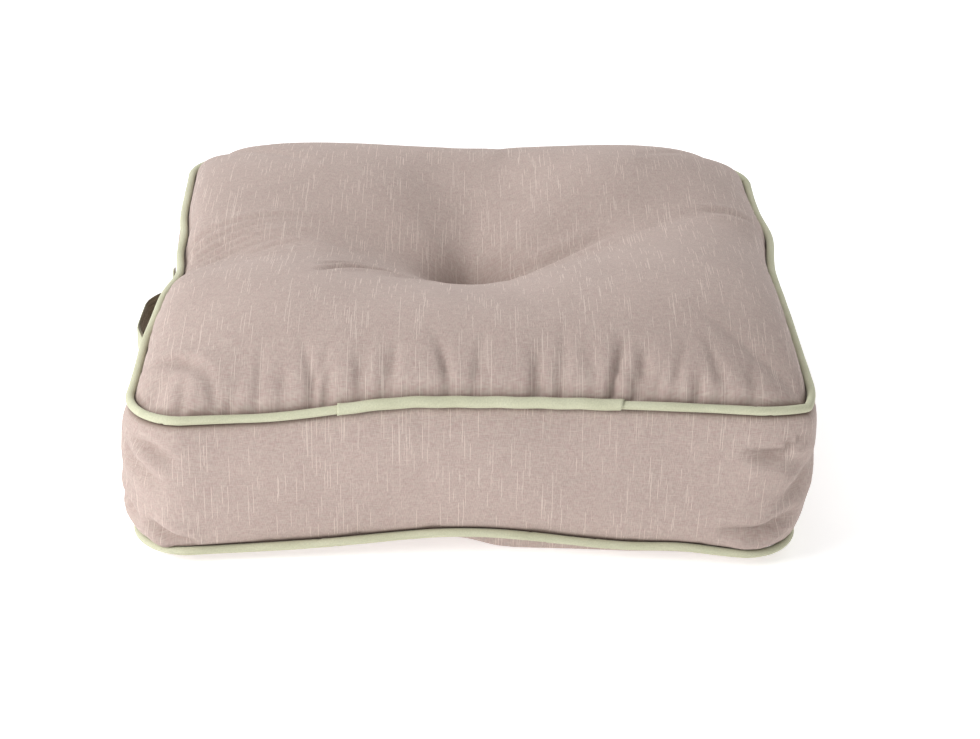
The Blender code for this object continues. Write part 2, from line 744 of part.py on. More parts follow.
def build_zip(parent):
    """Tapes, tooth rows, stops, slider and pull tab, set in the back band's face.

    Here v is measured out of the band's face along +Y, and w up from the zip's middle line.
    """
    face = Vector((0, HALF_WIDTH + BAND_BULGE, ZIP_HEIGHT))
    length = ZIP_HALF_LENGTH
    tape_out = -FABRIC - GAP
    near, far = TOOTH_ROW
    for name, up in (("upper", 1), ("lower", -1)):
        rows = sorted((near * up, far * up))
        row_low = (-length, -TOOTH_DEPTH, rows[0])
        row_high = (length, 0.0, rows[1])
        add_blocks(f"zip_teeth_{name}", [(row_low, row_high)], "zip_nylon", parent, face)
        tapes = sorted(((far + GAP) * up, TAPE_TO * up))
        tape_low = (-length - 0.008, tape_out - TAPE_THICKNESS, tapes[0])
        tape_high = (length + 0.008, tape_out, tapes[1])
        add_blocks(f"zip_tape_{name}", [(tape_low, tape_high)], "zip_tape", parent, face)

    for name, start in (("zip_closed_stop", length + GAP), ("zip_open_stop", -length - GAP - 0.003)):
        stop = ((start, -TOOTH_DEPTH, -far), (start + 0.003, 0.0, far))
        add_blocks(name, [stop], "zip_metal", parent, face)

    reach = SLIDER_HALF_LENGTH
    side = SLIDER_HALF_WIDTH
    plate_foot = GAP
    plate_top = plate_foot + SLIDER_PLATE
    under_top = -TOOTH_DEPTH - GAP
    bail_top = plate_top + BAIL_OPENING
    bar = BAIL_BAR
    bail = BAIL_HALF_LENGTH
    thin = BAIL_HALF_WIDTH
    post = near - 0.00015
    slider = add_blocks("zip_slider", [
        ((-reach, plate_foot, -side), (reach, plate_top, side)),
        ((-reach, under_top - SLIDER_PLATE, -side), (reach, under_top, side)),
        ((-0.0015, under_top - 0.0002, -post), (0.0015, plate_foot + 0.0002, post)),
        ((-bail, plate_top - 0.0002, -thin), (-bail + bar, bail_top + bar, thin)),
        ((bail - bar, plate_top - 0.0002, -thin), (bail, bail_top + bar, thin)),
        ((-bail + bar / 2, bail_top, -thin), (bail - bar / 2, bail_top + bar, thin)),
    ], "zip_metal", parent, face + Vector((SLIDER_REST_X, 0, 0)))

    half = PULL_BAR / 2
    wide = PULL_HALF_WIDTH
    eye = PULL_EYE_HALF_WIDTH
    pull_axis = (0, plate_top + BAIL_OPENING / 2, 0)
    add_blocks("zip_puller", [
        ((-half, -half, -wide), (half, half, wide)),
        ((-PULL_EYE_TO - 0.0005, -half, eye), (0.0002, half, wide)),
        ((-PULL_EYE_TO - 0.0005, -half, -wide), (0.0002, half, -eye)),
        ((-PULL_LENGTH, -half, -wide), (-PULL_EYE_TO, half, wide)),
    ], "zip_metal", slider, pull_axis)


# ---- the whole cushion --------------------------------------------------------------------------


def main():
    clear_scene()
    centre = add_empty("cushion_centre", (CENTRE_X, 0, 0))
    build_cover(centre)
    build_inside(centre)
    build_tuft(centre)
    build_handle(centre)
    build_zip(centre)


main()
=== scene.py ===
"""The floor cushion as a finished piece of upholstery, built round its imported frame.

A stuffed linen cover with sage cotton piping in both edge seams, one deep tuft held by two covered
buttons, a strap handle in two plies on the left, and a zip in the back of the band.

Metres, +Z up, the floor at z = 0, the front facing -Y. Sizes measured from the cushion's own middle
are moved by CENTRE_X, because the handle puts the middle of the whole box off the cushion's.
"""

import math

import bmesh
import bpy
import numpy as np
from mathutils import Matrix, Vector, kdtree


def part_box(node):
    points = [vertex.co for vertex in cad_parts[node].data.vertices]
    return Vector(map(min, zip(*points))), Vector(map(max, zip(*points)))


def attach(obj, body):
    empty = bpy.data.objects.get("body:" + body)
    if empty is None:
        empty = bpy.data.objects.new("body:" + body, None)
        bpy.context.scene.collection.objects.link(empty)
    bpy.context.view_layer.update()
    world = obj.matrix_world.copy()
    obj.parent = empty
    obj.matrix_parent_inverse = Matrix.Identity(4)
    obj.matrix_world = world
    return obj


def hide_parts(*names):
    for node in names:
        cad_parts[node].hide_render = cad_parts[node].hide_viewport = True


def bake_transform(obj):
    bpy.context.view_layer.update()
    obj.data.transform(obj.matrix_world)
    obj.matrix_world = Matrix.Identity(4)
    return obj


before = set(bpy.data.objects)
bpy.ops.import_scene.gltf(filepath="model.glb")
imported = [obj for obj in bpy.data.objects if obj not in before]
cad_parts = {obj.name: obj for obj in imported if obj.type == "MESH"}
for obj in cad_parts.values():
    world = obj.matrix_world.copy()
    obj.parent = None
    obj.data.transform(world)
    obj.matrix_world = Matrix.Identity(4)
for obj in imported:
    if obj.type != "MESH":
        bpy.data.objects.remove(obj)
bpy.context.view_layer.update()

# ---- sizes --------------------------------------------------------------------------------------

HALF_WIDTH = 0.250               # from the cushion's middle to the piping, at a corner
CORNER_RADIUS = 0.041
CENTRE_X = 0.00525

SIDES = ("front", "right", "back", "left")
OUTWARD = {"front": (0, -1), "right": (1, 0), "back": (0, 1), "left": (-1, 0)}

# the seams' heights at the corners: front left, front right, back right, back left
TOP_CORNERS = (0.1195, 0.1308, 0.1215, 0.1270)
BOTTOM_CORNERS = (0.0106, 0.0108, 0.0100, 0.0100)
# how far each side of a seam is drawn in, and lifted, at its middle
TOP_PULL = {"front": 0.0111, "right": 0.0012, "back": 0.0, "left": 0.0062}
TOP_LIFT = {"front": 0.0, "right": 0.0, "back": 0.0, "left": 0.0090}
BOTTOM_PULL = {"front": 0.0119, "right": 0.0040, "back": 0.0, "left": 0.0100}
BOTTOM_LIFT = {"front": 0.0, "right": 0.0020, "back": 0.0, "left": 0.0020}
TOP_SQUARE = (0.0, 0.5, 0.12, 0.0)         # how much squarer each corner is than a quarter round
FRONT_RISE = (-0.160, -0.030)              # where the front seam climbs from its left corner
BOTTOM_RIGHT_IN = 0.0065                   # how much nearer the bottom seam's right side is
# local pulls on the seams: level, side, place along it, inward pull, rise, reach
KINKS = (
    ("top", "left", 0.012, 0.0078, -0.0025, 0.033),
    ("top", "left", -0.050, 0.0044, 0.0, 0.034),
    ("top", "left", 0.135, -0.0022, 0.0, 0.036),
    ("top", "right", 0.085, -0.0058, 0.0, 0.045),
    ("top", "right", -0.005, 0.0012, 0.0, 0.040),
    ("bottom", "front", -0.002, 0.0, 0.0103, 0.088),
    ("bottom", "front", 0.160, 0.0, 0.0026, 0.030),
)

PIPING_RADIUS = 0.0035
PIPING_STEP = 0.0016                       # spacing of the rings along the piping
PIPING_SIDES = 16
SLEEVE_FROM, SLEEVE_TO = -0.096, 0.110
SLEEVE_TURNS = (205, -108)                 # degrees round the piping that the sleeve wraps
SLEEVE_WALL = 0.0006
TOP_BIAS_SEAMS = (0.012, 0.330, 0.452, 0.950, 1.420)        # lengths along each piping
BOTTOM_BIAS_SEAMS = (0.135, 0.292, 0.340, 1.10, 1.62)

CROWN_RISE = 0.0510                        # top of the lobes over the top seam
BOWL_DEPTH, BOWL_SPREAD = 0.0480, 0.0860   # the wide bowl round the tuft
TUFT_DEPTH, TUFT_SPREAD = 0.0330, 0.0205   # the narrow pit in the bowl's middle
TUFT_SINK = 0.0120                         # how far the stuffed top takes its button down
TUFT_SEAT = 0.0115                         # radius that the button presses flat
PANEL_CELLS = 90                           # cells across the top and bottom panels
BAND_ROWS = 17
BAND_DEPTH = 0.117                         # the band's cut depth
SEAM_OUT, SEAM_DROP = -0.0030, 0.0030      # where the plies meet, from the piping's middle
CUT_EASE = 1.04                            # flat cloth over its place in plan
STUFFING_FRAMES = 20

HANDLE_CENTRE_Y = -0.030
HANDLE_HALF_SPAN = 0.075
HANDLE_END = 0.022                         # length of each sewn end
HANDLE_LEG = 0.052
HANDLE_LEG_MORE = (0.014, -0.012)          # how much longer the front and rear legs are
HANDLE_BOW = 0.0152
HANDLE_HEIGHT = 0.085
WEBBING_WIDTH, WEBBING_THICKNESS = 0.030, 0.0014
FACING_WIDTH, FACING_THICKNESS = 0.027, 0.0010
STRAP_CUP = 0.0006                         # how far the strap's edges curl towards the band
STRAP_STITCH_IN = 0.0022                   # from the facing's edge to its stitching

BAND_FACE = 0.255                          # the back band's face, where the zip sits
BAND_WALL = 0.0011
ZIP_HEIGHT = 0.068
ZIP_HALF_LENGTH = 0.184
ZIP_MOUTH = 0.0035                         # half the gap between the two band halves
ZIP_SEAM = 0.209                           # where the back band meets the rest of the band
ZIP_LET_IN = 0.0042                        # how far the cover lies behind the zip
TAPE_WALL = 0.0005
TOOTH_PITCH = 0.0015
SLIDER_PLATE = 0.0011
SLIDER_GAP = 0.0003                        # between the slider and the band's face

SEED = 7

# ---- small helpers ------------------------------------------------------------------------------


def placed(name, data):
    """A new object in the scene."""
    thing = bpy.data.objects.new(name, data)
    bpy.context.scene.collection.objects.link(thing)
    return thing


def add_mesh(name, points, faces, uvs=None, edges=()):
    """A mesh object from points, faces and, for each face corner, a place in the cloth."""
    mesh = bpy.data.meshes.new(name)
    mesh.from_pydata([tuple(map(float, point)) for point in points], edges, faces)
    if uvs is not None:
        layer = mesh.uv_layers.new(name="cloth")
        layer.data.foreach_set("uv", np.asarray(uvs, np.float32).ravel())
    mesh.shade_smooth()
    return placed(name, mesh)


def mesh_from(name, shape):
    """The mesh of a bmesh, which is freed."""
    mesh = bpy.data.meshes.new(name)
    shape.to_mesh(mesh)
    shape.free()
    return mesh


def quads(rows, count, ring=True, ring_rows=False, start=0):
    """Faces between rows of points, and the row and spot of every face corner.

    A ring is closed from its last spot to its first, where the corner's spot runs on past the end.
    """
    faces, corners = [], []
    for row in range(rows if ring_rows else rows - 1):
        for spot in range(count if ring else count - 1):
            places = ((row, spot), (row, spot + 1), (row + 1, spot + 1), (row + 1, spot))
            faces.append(tuple(start + r % rows * count + s % count for r, s in places))
            corners += places
    return faces, corners


def plan_uvs(points, faces, axis, shift):
    """Cloth places straight from the points: x and one other axis, x shifted along."""
    return [(points[corner][0] + shift, points[corner][axis]) for face in faces for corner in face]


def turn_outward(thing):
    """Points a closed mesh's faces away from its inside."""
    shape = bmesh.new()
    shape.from_mesh(thing.data)
    bmesh.ops.recalc_face_normals(shape, faces=shape.faces)
    if shape.calc_volume(signed=True) < 0:
        bmesh.ops.reverse_faces(shape, faces=shape.faces)
    shape.to_mesh(thing.data)
    shape.free()


def finished(thing, finish):
    """The piece with its faces outward and its finish on."""
    turn_outward(thing)
    thing.data.materials.append(finish)
    return thing


def settle_modifiers(thing):
    """The object with its modifiers made part of its mesh."""
    bpy.context.view_layer.update()
    graph = bpy.context.evaluated_depsgraph_get()
    mesh = bpy.data.meshes.new_from_object(
        thing.evaluated_get(graph), preserve_all_data_layers=True, depsgraph=graph)
    thing.modifiers.clear()
    if thing.data.shape_keys:
        thing.shape_key_clear()
    thing.data = mesh
    mesh.name = thing.name
    return thing


def subdivide(thing):
    modifier = thing.modifiers.new("subdivide", "SUBSURF")
    modifier.levels = modifier.render_levels = 1
    settle_modifiers(thing)


def give_wall(thing, thickness, offset=0.0):
    """Gives a sheet of cloth its thickness, evenly or, at offset -1, behind its face."""
    wall = thing.modifiers.new("cloth", "SOLIDIFY")
    wall.thickness = thickness
    wall.offset = offset
    settle_modifiers(thing)


def read_vectors(thing, field, kind=float):
    found = np.zeros(len(thing.data.vertices) * 3, kind)
    thing.data.vertices.foreach_get(field, found)
    return found.reshape(-1, 3).astype(float)


def points_of(thing):
    return read_vectors(thing, "co")


def normals_of(thing):
    return read_vectors(thing, "normal", np.float32)


def set_points(thing, points):
    thing.data.vertices.foreach_set("co", np.asarray(points, np.float32).ravel())
    thing.data.update()


def search_tree(points):
    tree = kdtree.KDTree(len(points))
    for number, spot in enumerate(points):
        tree.insert(spot, number)
    tree.balance()
    return tree


def run_along(line):
    """The length run at each point of a line."""
    return np.concatenate([[0], np.cumsum(np.linalg.norm(np.diff(line, axis=0), axis=1))])


def ease(value):
    value = np.clip(value, 0.0, 1.0)
    return value * value * (3 - 2 * value)


def bell(value, spread, power=2):
    """A soft hump: 1 in its middle and dying out past its spread."""
    return np.exp(-(value / spread) ** power)


# ---- materials ----------------------------------------------------------------------------------


class Finish:
    """A Principled material and the few node moves that the finishes share."""

    def __init__(self, name, roughness, metallic=0.0, sheen=0.0, specular=0.5):
        self.material = bpy.data.materials.new(name)
        self.material.use_nodes = True
        self.tree = self.material.node_tree
        self.shader = self.tree.nodes["Principled BSDF"]
        self.shader.inputs["Roughness"].default_value = roughness
        self.shader.inputs["Metallic"].default_value = metallic
        self.shader.inputs["Sheen Weight"].default_value = sheen
        self.shader.inputs["Sheen Roughness"].default_value = 0.45
        self.shader.inputs["Specular IOR Level"].default_value = specular

    def node(self, kind, **values):
        made = self.tree.nodes.new(kind)
        for name, value in values.items():
            setattr(made, name, value)
        return made

    def link(self, source, target):
        self.tree.links.new(source, target)

    def feed(self, socket, value):
        """A number, colour or vector is set on the socket; an output is linked to it."""
        if isinstance(value, bpy.types.NodeSocket):
            self.link(value, socket)
        else:
            socket.default_value = value

    def maths(self, operation, first, second=0.5):
        made = self.node("ShaderNodeMath", operation=operation)
        self.feed(made.inputs[0], first)
        self.feed(made.inputs[1], second)
        return made.outputs[0]

    def cloth(self):
        """The piece's own flat cloth coordinates, in metres."""
        return self.node("ShaderNodeUVMap", uv_map="cloth").outputs[0]

    def space(self):
        return self.node("ShaderNodeTexCoord").outputs["Object"]

    def scaled(self, vector, scale, turn=0.0, shift=(0, 0, 0)):
        made = self.node("ShaderNodeMapping")
        self.link(vector, made.inputs["Vector"])
        made.inputs["Scale"].default_value = scale
        made.inputs["Rotation"].default_value = (0, 0, turn)
        made.inputs["Location"].default_value = shift
        return made.outputs[0]

    def noise(self, vector, detail=2.0, roughness=0.5):
        made = self.node("ShaderNodeTexNoise")
        self.link(vector, made.inputs["Vector"])
        made.inputs["Scale"].default_value = 1.0
        made.inputs["Detail"].default_value = detail
        made.inputs["Roughness"].default_value = roughness
        return made.outputs["Fac"]

    def between(self, value, low, high, to_low=0.0, to_high=1.0):
        made = self.node("ShaderNodeMapRange")
        self.link(value, made.inputs["Value"])
        for name, number in (("From Min", low), ("From Max", high),
                             ("To Min", to_low), ("To Max", to_high)):
            made.inputs[name].default_value = number
        return made.outputs["Result"]

    def mix(self, factor, first, second, blend="MIX"):
        made = self.node("ShaderNodeMix", data_type="RGBA", blend_type=blend)
        self.feed(made.inputs["Factor"], factor)
        self.feed(made.inputs[6], first)
        self.feed(made.inputs[7], second)
        return made.outputs[2]

    def threads(self, vector, pitch, across, along):
        """Height of a plain weave: 0 to 1, with the threads crossing over and under."""
        parts = self.node("ShaderNodeSeparateXYZ")
        self.link(vector, parts.inputs[0])
        waves = []
        for output, step in ((parts.outputs[0], across), (parts.outputs[1], along)):
            turned = self.maths("MULTIPLY", output, math.pi / (pitch * step))
            waves.append(self.maths("SINE", turned, 0.0))
        both = self.maths("MULTIPLY", waves[0], waves[1])
        return self.maths("MULTIPLY_ADD", both, 0.5)

    def yarn_noise(self, vector, across, pitch, runs, seed):
        """Noise that changes from one yarn to the next and slowly along it, and each yarn's round."""
        parts = self.node("ShaderNodeSeparateXYZ")
        self.link(vector, parts.inputs[0])
        place = self.maths("MULTIPLY", parts.outputs[across], 1 / pitch)
        yarn = self.maths("MULTIPLY", self.maths("FLOOR", place), 7.31)
        along = self.maths("MULTIPLY", parts.outputs[1 - across], runs)
        along = self.maths("ADD", along, self.maths("MULTIPLY", yarn, 3.93))
        joined = self.node("ShaderNodeCombineXYZ")
        for socket, value in zip(joined.inputs, (yarn, along, seed)):
            self.feed(socket, value)
        turned = self.maths("MULTIPLY", place, math.pi)
        around = self.maths("ABSOLUTE", self.maths("SINE", turned))
        return self.noise(joined.outputs[0], detail=0.0), around

    def colour(self, value):
        self.feed(self.shader.inputs["Base Color"], value)

    def bump(self, heights):
        """Chains bumps: (height, distance in metres, strength)."""
        before = None
        for height, distance, strength in heights:
            made = self.node("ShaderNodeBump")
            made.inputs["Distance"].default_value = distance
            made.inputs["Strength"].default_value = strength
            self.link(height, made.inputs["Height"])
            if before is not None:
                self.link(before, made.inputs["Normal"])
            before = made.outputs[0]
        self.link(before, self.shader.inputs["Normal"])


def grey(value):
    return (value, value, value, 1.0)


def slub_linen(name, warp, weft, slub, strength=1.0):
    """Linen-look cloth: two thread colours, pale slubs in single warp threads, fainter ones across,
    and painted shade in dark brown where the cover's own attribute asks for it.
    """
    finish = Finish(name, 0.88, sheen=0.08, specular=0.25)
    cloth = finish.cloth()
    crowd = finish.noise(finish.scaled(cloth, (30, 14, 1)), detail=2.0)
    level = finish.between(crowd, 0.30, 0.70, -0.045, 0.035)

    long_slubs, warp_round = finish.yarn_noise(cloth, 0, 0.00052, 19, 3)
    long_slubs = finish.between(finish.maths("ADD", long_slubs, level), 0.700, 0.722)
    short_slubs, _ = finish.yarn_noise(cloth, 0, 0.00046, 62, 11)
    short_slubs = finish.between(
        finish.maths("ADD", short_slubs, level), 0.705, 0.750, 0.0, 0.50)
    cross_slubs, weft_round = finish.yarn_noise(cloth, 1, 0.00060, 60, 5)
    cross_slubs = finish.between(cross_slubs, 0.700, 0.750, 0.0, 0.24)
    slubs = finish.maths("MAXIMUM", long_slubs, short_slubs)
    slubs = finish.maths("MULTIPLY", slubs, finish.between(warp_round, 0.0, 0.75))
    cross_slubs = finish.maths("MULTIPLY", cross_slubs, finish.between(weft_round, 0.0, 0.75))
    slubs = finish.maths("MAXIMUM", slubs, cross_slubs)

    warp_grain, _ = finish.yarn_noise(cloth, 0, 0.00040, 330, 17)
    weft_grain, _ = finish.yarn_noise(cloth, 1, 0.00040, 210, 23)
    patches = finish.noise(finish.scaled(cloth, (15, 11, 1), shift=(4, 4, 0)), detail=3.0)
    crossing = finish.threads(cloth, 0.00056, 1.0, 1.0)
    yarns = finish.mix(finish.between(weft_grain, 0.30, 0.70), warp, weft)
    yarns = finish.mix(finish.between(crossing, 0.2, 0.8, 0.0, 0.16), yarns, weft)
    shade = finish.between(warp_grain, 0.25, 0.75, 0.89, 1.11)
    cloud = finish.between(patches, 0.30, 0.70, 0.96, 1.035)
    tone = finish.maths("MULTIPLY", shade, cloud)
    toned = finish.mix(1.0, yarns, tone, "MULTIPLY")
    pale = finish.maths("MULTIPLY", slubs, 0.78 * strength)
    slubbed = finish.mix(pale, toned, slub)
    # painted shade: the cloth is darkened towards dark brown in the piping's crevices, the tuft's pit
    # and the folds' valleys, as much as the cover's attribute says
    painted_shade = finish.node("ShaderNodeAttribute", attribute_name="painted_shade").outputs["Fac"]
    painted_shade = finish.maths("MULTIPLY", painted_shade, 0.92)
    finish.colour(finish.mix(painted_shade, slubbed, (0.130, 0.088, 0.066, 1.0)))

    rough = finish.between(slubs, 0.0, 1.0, 0.90, 0.74)
    finish.feed(finish.shader.inputs["Roughness"], rough)
    grain = finish.maths("ADD", warp_grain, weft_grain)
    creases = finish.noise(finish.scaled(cloth, (48, 60, 1), shift=(5, 2, 0)), detail=4.0,
                           roughness=0.55)
    finish.bump((
        (creases, 0.0020, 0.22),
        (slubs, 0.00022, 0.55),
        (grain, 0.00020, 0.45),
        (crossing, 0.00012, 0.35),
    ))
    return finish.material


def bias_cotton(name, light, dark, pitch=0.00105, turn=math.radians(45)):
    """Sage cotton cut on the bias: a fine diagonal twill, a little fluff and wear."""
    finish = Finish(name, 0.82, sheen=0.12, specular=0.3)
    cloth = finish.cloth()
    run = finish.scaled(cloth, (1, 1, 1), turn=turn)
    twill = finish.threads(run, pitch, 1.0, 0.62)
    fluff = finish.noise(finish.scaled(cloth, (900, 700, 1)), detail=3.0, roughness=0.6)
    wear = finish.noise(finish.scaled(cloth, (26, 60, 1), shift=(3, 1, 0)), detail=3.0)
    tone = finish.mix(finish.between(wear, 0.32, 0.68), dark, light)
    tone = finish.mix(finish.between(twill, 0.25, 0.95, 0.0, 0.20), tone, light)
    spots = finish.between(fluff, 0.35, 0.65, 0.93, 1.06)
    finish.colour(finish.mix(1.0, tone, spots, "MULTIPLY"))
    puckers = finish.noise(finish.scaled(cloth, (120, 90, 1), shift=(6, 2, 0)), detail=2.0)
    finish.bump((
        (puckers, 0.0011, 0.35),
        (twill, 0.00022, 0.60),
        (fluff, 0.00014, 0.40),
    ))
    return finish.material


def ribbed_webbing(name, dark, light):
    """Woven webbing: ribs along its length, broken by the weft."""
    finish = Finish(name, 0.80, sheen=0.10, specular=0.3)
    cloth = finish.cloth()
    ribs = finish.threads(cloth, 0.00085, 0.62, 1.0)
    streaks = finish.noise(finish.scaled(cloth, (55, 1300, 1)), detail=2.0)
    lines = finish.noise(finish.scaled(cloth, (11, 420, 1), shift=(2, 2, 0)), detail=1.0)
    tone = finish.mix(finish.between(streaks, 0.40, 0.64), dark, light)
    tone = finish.mix(finish.between(lines, 0.56, 0.66, 0.0, 0.45), tone, light)
    shade = finish.between(ribs, 0.0, 1.0, 0.72, 1.12)
    finish.colour(finish.mix(1.0, tone, shade, "MULTIPLY"))
    finish.bump(((ribs, 0.00035, 0.7), (streaks, 0.0002, 0.4)))
    return finish.material


def sewing_thread(name, tone):
    """Twisted thread, with its ply lines turning round it."""
    finish = Finish(name, 0.55, sheen=0.1, specular=0.4)
    place = finish.space()
    ply = finish.noise(finish.scaled(place, (2600, 2600, 900)), detail=1.0)
    finish.colour(finish.mix(finish.between(ply, 0.35, 0.65, 0.0, 0.35), tone, grey(0.30)))
    finish.bump(((ply, 0.0001, 0.5),))
    return finish.material


def dull_metal(name):
    """Die-cast zip metal: brushed, a little darker where it is handled."""
    finish = Finish(name, 0.34, metallic=1.0)
    place = finish.space()
    brush = finish.noise(finish.scaled(place, (300, 3200, 3200)), detail=2.0)
    marks = finish.noise(finish.scaled(place, (240, 240, 240)), detail=4.0, roughness=0.6)
    tone = finish.mix(finish.between(marks, 0.35, 0.7), grey(0.55), (0.42, 0.40, 0.37, 1.0))
    finish.colour(tone)
    finish.feed(finish.shader.inputs["Roughness"], finish.between(brush, 0.3, 0.7, 0.26, 0.44))
    finish.bump(((brush, 0.00004, 0.3),))
    return finish.material


def moulded_nylon(name, tone):
    finish = Finish(name, 0.42, specular=0.5)
    place = finish.space()
    grain = finish.noise(finish.scaled(place, (1500, 1500, 1500)), detail=2.0)
    finish.colour(finish.mix(finish.between(grain, 0.3, 0.7, 0.0, 0.25), tone, grey(0.42)))
    finish.bump(((grain, 0.00005, 0.4),))
    return finish.material


LINEN_WARP = (0.447, 0.335, 0.306, 1.0)
LINEN_WEFT = (0.492, 0.407, 0.362, 1.0)
LINEN_SLUB = (0.760, 0.640, 0.570, 1.0)
SAGE_LIGHT = (0.615, 0.615, 0.450, 1.0)
SAGE_DARK = (0.520, 0.520, 0.365, 1.0)

linen = slub_linen("linen_cover", LINEN_WARP, LINEN_WEFT, LINEN_SLUB)
linen_button = slub_linen("linen_button", LINEN_WARP, LINEN_WEFT, LINEN_SLUB, 0.7)
piping_cotton = bias_cotton("sage_piping", SAGE_LIGHT, SAGE_DARK)
facing_cotton = bias_cotton("sage_facing", SAGE_LIGHT, SAGE_DARK, turn=0.0)
# the strap's inner ply, on the band's side: its dark brown is partly its own colour and partly painted
# shade of the inside of the strap's loop
brown_webbing = ribbed_webbing(
    "brown_webbing", (0.100, 0.085, 0.052, 1.0), (0.290, 0.250, 0.170, 1.0))
sage_thread = sewing_thread("sage_thread", (0.64, 0.64, 0.49, 1.0))
pink_thread = sewing_thread("pink_thread", (0.55, 0.43, 0.38, 1.0))
zip_tape_cloth = ribbed_webbing(
    "zip_tape_cloth", (0.34, 0.255, 0.225, 1.0), (0.50, 0.395, 0.345, 1.0))
zip_nylon = moulded_nylon("zip_coil_nylon", (0.36, 0.275, 0.240, 1.0))
zip_metal = dull_metal("zip_slider_metal")


# ---- the seams ----------------------------------------------------------------------------------

STRAIGHT = HALF_WIDTH - CORNER_RADIUS
HALF_PATH = STRAIGHT + CORNER_RADIUS * math.pi / 4


def seam_points(number, along, level):
    """Points of the top or bottom seam on one side, along running -1 to 1 between corner middles."""
    side = SIDES[number]
    corners, pulls, lifts = (
        (TOP_CORNERS, TOP_PULL, TOP_LIFT) if level == "top"
        else (BOTTOM_CORNERS, BOTTOM_PULL, BOTTOM_LIFT))
    along = np.asarray(along, float)
    distance = along * HALF_PATH
    share = np.clip(distance / STRAIGHT, -1, 1)
    turn = np.clip((np.abs(distance) - STRAIGHT) / CORNER_RADIUS, 0, None)
    bow = pulls[side] * (1 - share ** 2)
    half = (share + 1) / 2
    if level == "top" and side == "front":
        half = (distance - FRONT_RISE[0]) / (FRONT_RISE[1] - FRONT_RISE[0])
    start, end = corners[number], corners[(number + 1) % 4]
    height = start + (end - start) * ease(half) + lifts[side] * (1 - share ** 2)
    for kink_level, kink_side, place, pull, rise, reach in KINKS:
        if (kink_level, kink_side) == (level, side):
            near = bell(distance - place, reach)
            bow = bow + pull * near
            height = height + rise * near
    square = 0.0
    if level == "top":
        square = np.where(along < 0, TOP_SQUARE[number], TOP_SQUARE[(number + 1) % 4])
    # at the corner's middle both sides still meet on the diagonal
    stretch = 1 + square * math.tan(math.pi / 8)
    out = HALF_WIDTH - bow - CORNER_RADIUS * (1 - np.cos(turn)) * (1 - square)
    run = np.sign(distance) * (
        np.minimum(np.abs(distance), STRAIGHT) + CORNER_RADIUS * np.sin(turn) * stretch)
    out_x, out_y = OUTWARD[side]
    x, y = out_x * out - out_y * run, out_y * out + out_x * run
    if level == "bottom":
        x = x - BOTTOM_RIGHT_IN * np.clip(x / HALF_WIDTH, 0, 1) ** 2
    return np.stack([x, y, height], -1)


def seam_ring(level, count):
    """The whole seam as one ring of points, from the front left corner's middle, anticlockwise."""
    spots = np.arange(count) / count * 4
    number = np.floor(spots).astype(int)
    ring = np.zeros((count, 3))
    for side in range(4):
        chosen = number == side
        ring[chosen] = seam_points(side, 2 * (spots[chosen] - side) - 1, level)
    return ring


def ring_outward(ring):
    """The level outward direction at each point of a ring."""
    run = np.roll(ring, -1, 0) - np.roll(ring, 1, 0)
    out = np.stack([run[:, 1], -run[:, 0], np.zeros(len(run))], -1)
    return out / np.linalg.norm(out, axis=1)[:, None]


def even_ring(level, step):
    """The seam in even steps of length, with its outward directions and the length run so far."""
    dense = seam_ring(level, 6000)
    closed = np.vstack([dense, dense[:1]])
    run = run_along(closed)
    count = int(round(run[-1] / step))
    wanted = np.arange(count) / count * run[-1]
    ring = np.stack([np.interp(wanted, run, closed[:, axis]) for axis in range(3)], -1)
    return ring, ring_outward(ring), wanted, run[-1]


# ---- the cover, before it is stuffed ------------------------------------------------------------


def cut_lines():
    """Where the grid lines of the panels lie in the cut cloth, -1 to 1, closer at the seams."""
    edge = [0.0, 0.0030, 0.0068, 0.0115]
    inner = np.linspace(-HALF_WIDTH + 0.0165, HALF_WIDTH - 0.0165, PANEL_CELLS - 7)
    low = np.array([-HALF_WIDTH + step for step in edge])
    return np.concatenate([low, inner, -low[::-1]]) / HALF_WIDTH


def border(u, v):
    """The side and the place along it that each grid point looks out to."""
    reach = np.maximum(np.abs(u), np.abs(v))
    safe = np.maximum(reach, 1e-9)
    number = np.where(v <= -reach + 1e-9, 0, np.where(u >= reach - 1e-9, 1,
                      np.where(v >= reach - 1e-9, 2, 3)))
    along = np.choose(number, [u, v, -u, -v]) / safe
    return number, along, reach


def panel_plan(u, v, level):
    """Plan places of a panel's grid points, and the seam's height that each looks out to."""
    number, along, reach = border(u, v)
    edge = np.zeros((len(u), 3))
    for side in range(4):
        chosen = number == side
        edge[chosen] = seam_points(side, along[chosen], level)
    out = edge[:, :2] / np.maximum(np.linalg.norm(edge[:, :2], axis=1), 1e-9)[:, None]
    seam = edge[:, :2] + out * SEAM_OUT
    safe = np.maximum(reach, 1e-9)
    square = np.stack([u, v], -1) / safe[:, None] * HALF_WIDTH
    shift = (seam - square) * (reach ** 3)[:, None]
    place = np.stack([u, v], -1) * HALF_WIDTH + shift
    return place, edge[:, 2], reach, number, along


